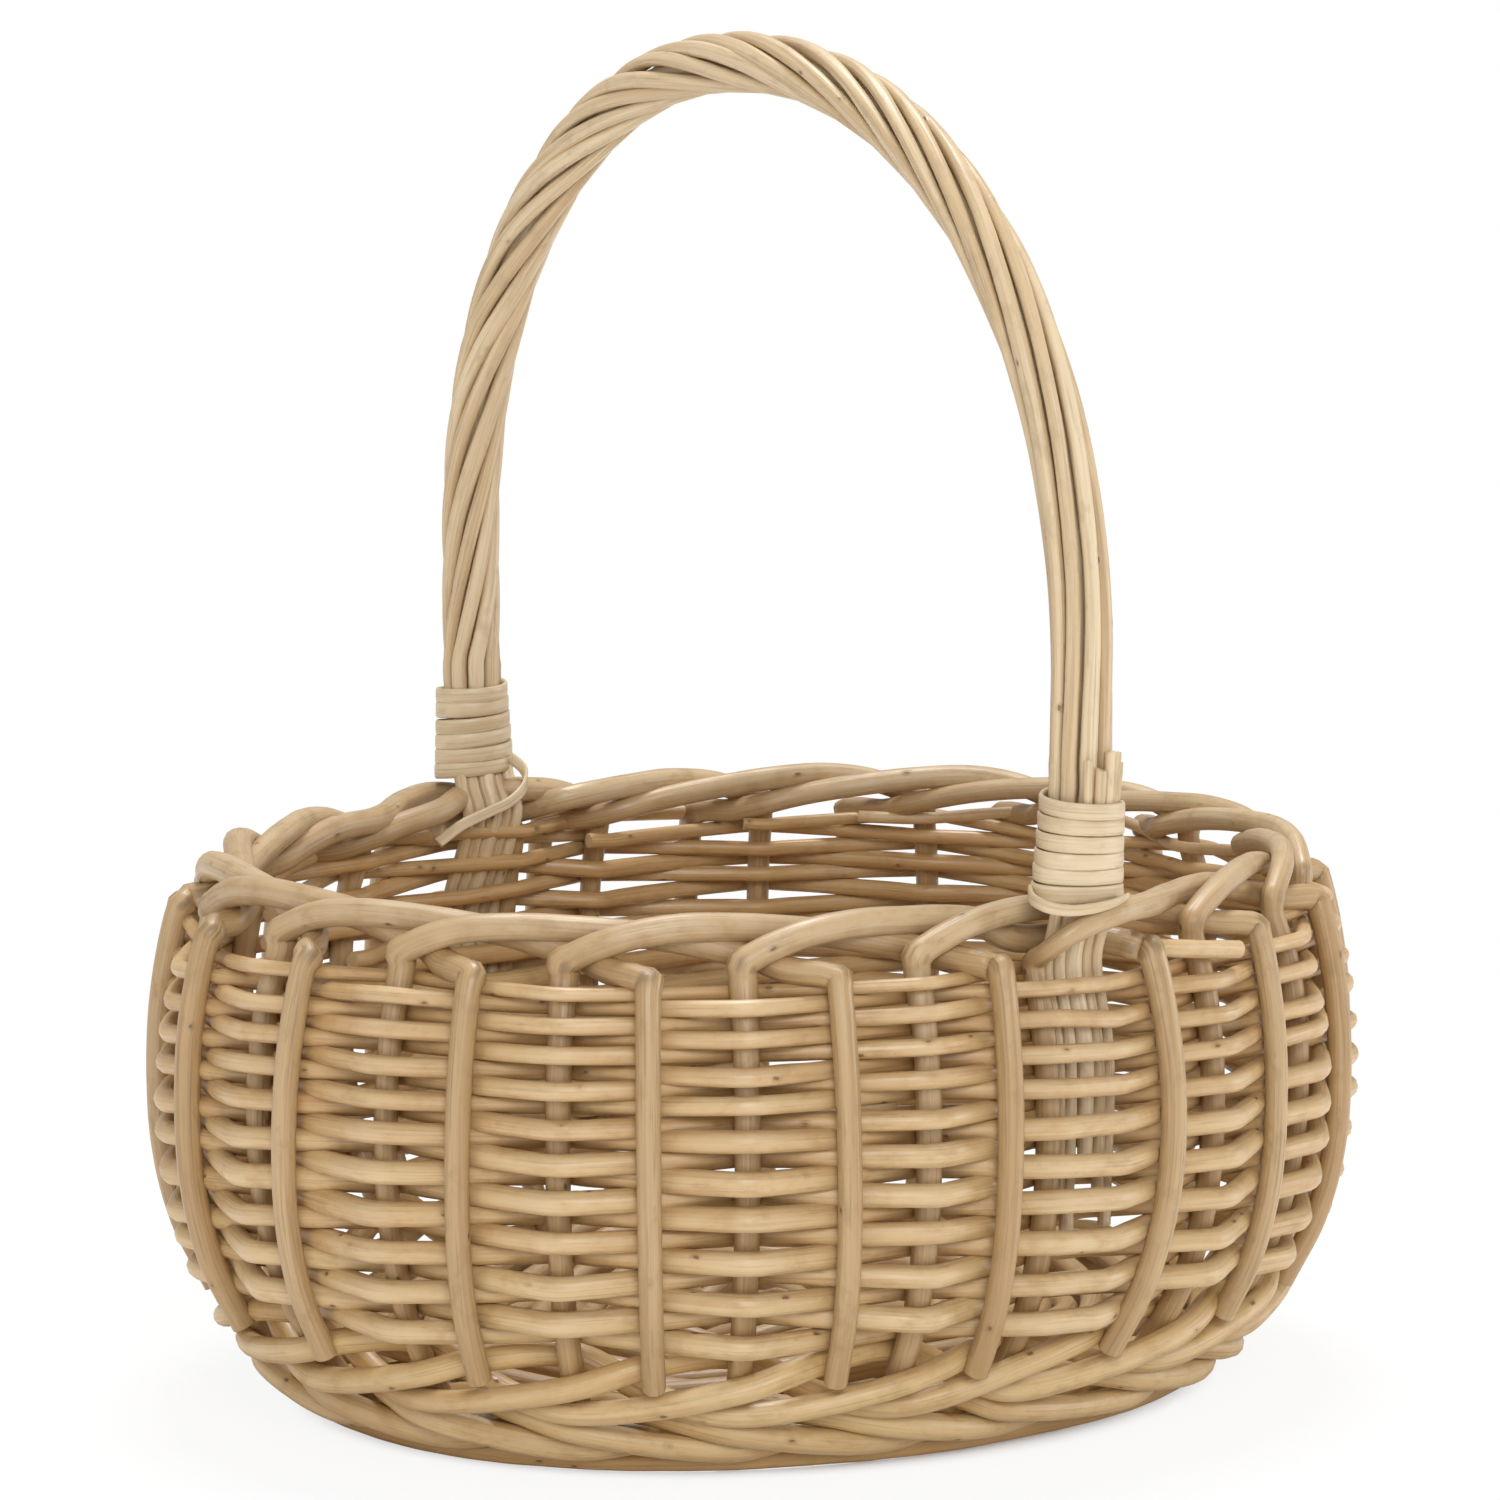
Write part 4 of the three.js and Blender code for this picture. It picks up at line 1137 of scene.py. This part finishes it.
# Each cross stick is split along its middle, and the long sticks pass between its halves
HALF_STICK_R = 0.65 * BASE_STICK_R
HALF_LIFT = 0.45 * BASE_STICK_R
SPLIT_STICK_R = 0.45 * BASE_STICK_R
SPLIT_LIFT = BASE_STICK_R + SPLIT_STICK_R
cross_reach = stick_reach(CROSS_STICK_X, EDGE_Y, EDGE_X)
marks = (SLOT_LONG, SLOT_NECK + BASE_STICK_R, cross_reach)
split_ys = [-y for y in reversed(marks)] + [0, *marks]
split_lifts = [HALF_LIFT] * 2 + [SPLIT_LIFT] * 3 + [HALF_LIFT] * 2
split_radii = [HALF_STICK_R] * 2 + [SPLIT_STICK_R] * 3 + [HALF_STICK_R] * 2
for i, x in enumerate((-CROSS_STICK_X, CROSS_STICK_X)):
    halves = []
    for side in (-1, 1):
        half_points = [(x, y, BASE_Z + side * up) for y, up in zip(split_ys, split_lifts)]
        halves.append(dict(points=half_points, radius=split_radii))
    node = f"base_cross_stick_{i + 1}"
    add_rods(f"{node}_split", node, "base_willow", halves, CROSS_STICK_SEED + i)


# The weaver is drawn in from the edge to the crossing of the sticks, a little faster along the length
INNER_X = CROSS_STICK_X + 1.6 * BASE_STICK_R + 2.5 * BASE_WEAVER_R
INNER_Y = SLOT_NECK + 3 * BASE_WEAVER_R
BASE_ROUNDS = int((EDGE_Y - INNER_Y) / BASE_PITCH)


def drawn_in(rounds):
    spans = ((EDGE_X, INNER_X), (EDGE_Y, INNER_Y))
    return [edge - (edge - inner) * rounds / BASE_ROUNDS for edge, inner in spans]


# Angles at which one round of the drawn-in weaver meets the eight stick ends
def spoke_angles(rounds):
    def meet_long(angle):
        return math.asin(LONG_STICK_Y / drawn_in(rounds + angle / TURN)[1])

    def meet_cross(angle):
        return math.acos(CROSS_STICK_X / drawn_in(rounds + angle / TURN)[0])

    return [
        meet_long(0), meet_cross(math.pi / 2),
        math.pi - meet_cross(math.pi / 2), math.pi - meet_long(math.pi),
        math.pi + meet_long(math.pi), math.pi + meet_cross(1.5 * math.pi),
        TURN - meet_cross(1.5 * math.pi), TURN - meet_long(TURN),
    ]


# Three pairs of stick ends are taken together, so that each round lies opposite to the last
SPOKE_GROUPS = [0, 1, 2, 3, 3, 4, 4, 5]
GROUPS_PER_ROUND = 5


def spoke_lift(rounds, n):
    return BASE_SWING if (GROUPS_PER_ROUND * rounds + SPOKE_GROUPS[n]) % 2 else -BASE_SWING


base_points = []
for rounds in range(BASE_ROUNDS):
    spokes = spoke_angles(rounds)
    for n, angle in enumerate(spokes):
        is_last = n + 1 == len(spokes)
        following = TURN + spoke_angles(rounds + 1)[0] if is_last else spokes[n + 1]
        lift = spoke_lift(rounds, n)
        next_lift = lift if is_last else spoke_lift(rounds, n + 1)
        parts = (0, 1 / 3, 2 / 3) if following - angle > math.pi / 6 else (0,)
        for part in parts:
            turned = angle + (following - angle) * part
            half_x, half_y = drawn_in(rounds + turned / TURN)
            base_points.append((half_x * math.cos(turned), half_y * math.sin(turned),
                                BASE_Z + lift + (next_lift - lift) * part))
base_rod = dict(points=base_points, radius=BASE_WEAVER_THICK_R, taper=0.1, sides=THIN_SIDES)
add_rods("base_weaver_rod", "base_weaver", "base_willow", [base_rod], BASE_WEAVER_SEED)

# Floor, light and camera: the glow of the floor near the basket, and where its shadow fades out
FLOOR_WHITE = 0.9
SHADOW_START = 0.15
SHADOW_REACH = 0.6
# Under the basket, out to this share of its oval, the floor has no glow
DARK_REACH = (0.7, 0.84)
LAMP_TARGET = (0, 0, 0.1)
LAMP_WHITE = (0.97, 0.985, 1)
# Name, place, breadth and power of each lamp
LAMPS = (
    ("key", (-1.3, -2.5, 1.5), 1.4, 36),
    ("right", (2.7, -1.65, 0.6), 1.0, 18),
    ("left", (-3.1, -0.3, 0.6), 1.0, 7),
    ("top", (0.5, 0.65, 3.2), 1.2, 72),
)
CAMERA_PLACE = (-0.85035, -1.12437, 0.3293)
CAMERA_TARGET = (-0.00136, 0.00103, 0.13486)


# A floor that is white to the camera from afar and keeps a faint shadow round the basket
def pale_floor():
    material, tree, shader = new_material("floor_white")
    fill(tree, shader, {"Base Color": (0.92, 0.91, 0.9), "Roughness": 0.9})
    glow = new_node(tree, "ShaderNodeEmission", {})
    to_camera = new_node(tree, "ShaderNodeLightPath", {}).outputs["Is Camera Ray"]
    spot = new_node(tree, "ShaderNodeNewGeometry", {}).outputs["Position"]
    white = remap(tree, length_of(tree, spot), SHADOW_START, SHADOW_REACH, FLOOR_WHITE, 1)
    beside = length_of(tree, scaled(tree, spot, (1 / HALF_LENGTH, 1 / HALF_WIDTH, 0)))
    white = product(tree, white, remap(tree, beside, *DARK_REACH))
    mix_shaders(tree, product(tree, to_camera, white), shader.outputs["BSDF"], glow.outputs["Emission"],
                "Material Output")
    return material


bpy.ops.mesh.primitive_plane_add(size=12, location=(0, 0, -0.0002))
floor = bpy.context.object
floor.name = "floor"
floor.data.materials.append(pale_floor())

world = bpy.data.worlds.new("studio")
bpy.context.scene.world = world
world.use_nodes = True
sky_tree = world.node_tree
sky = sky_tree.nodes["Background"]
fill(sky_tree, sky, {"Color": (1, 0.95, 0.89), "Strength": 0.55})
sky_seen = new_node(sky_tree, "ShaderNodeBackground", {"Color": (1, 1, 1)})
sky_to_camera = new_node(sky_tree, "ShaderNodeLightPath", {}).outputs["Is Camera Ray"]
mix_shaders(sky_tree, sky_to_camera, sky.outputs["Background"], sky_seen.outputs["Background"],
            "World Output")


def aim(thing, target):
    back = unit(np.array(thing.location) - np.array(target))
    right = unit(np.cross((0, 0, 1), back))
    up = np.cross(back, right)
    thing.rotation_euler = Matrix(np.stack([right, up, back], axis=1).tolist()).to_euler()


for name, place, size, power in LAMPS:
    data = bpy.data.lights.new(name, "AREA")
    data.shape = "DISK"
    data.size = size
    data.energy = power
    data.color = LAMP_WHITE
    lamp = add_object(name, data)
    lamp.location = place
    aim(lamp, LAMP_TARGET)

camera_data = bpy.data.cameras.new("camera")
camera_data.lens = 160.5
camera_data.sensor_width = 36
camera = add_object("camera", camera_data)
camera.location = CAMERA_PLACE
aim(camera, CAMERA_TARGET)
bpy.context.scene.camera = camera
bpy.context.scene.view_settings.view_transform = "Standard"
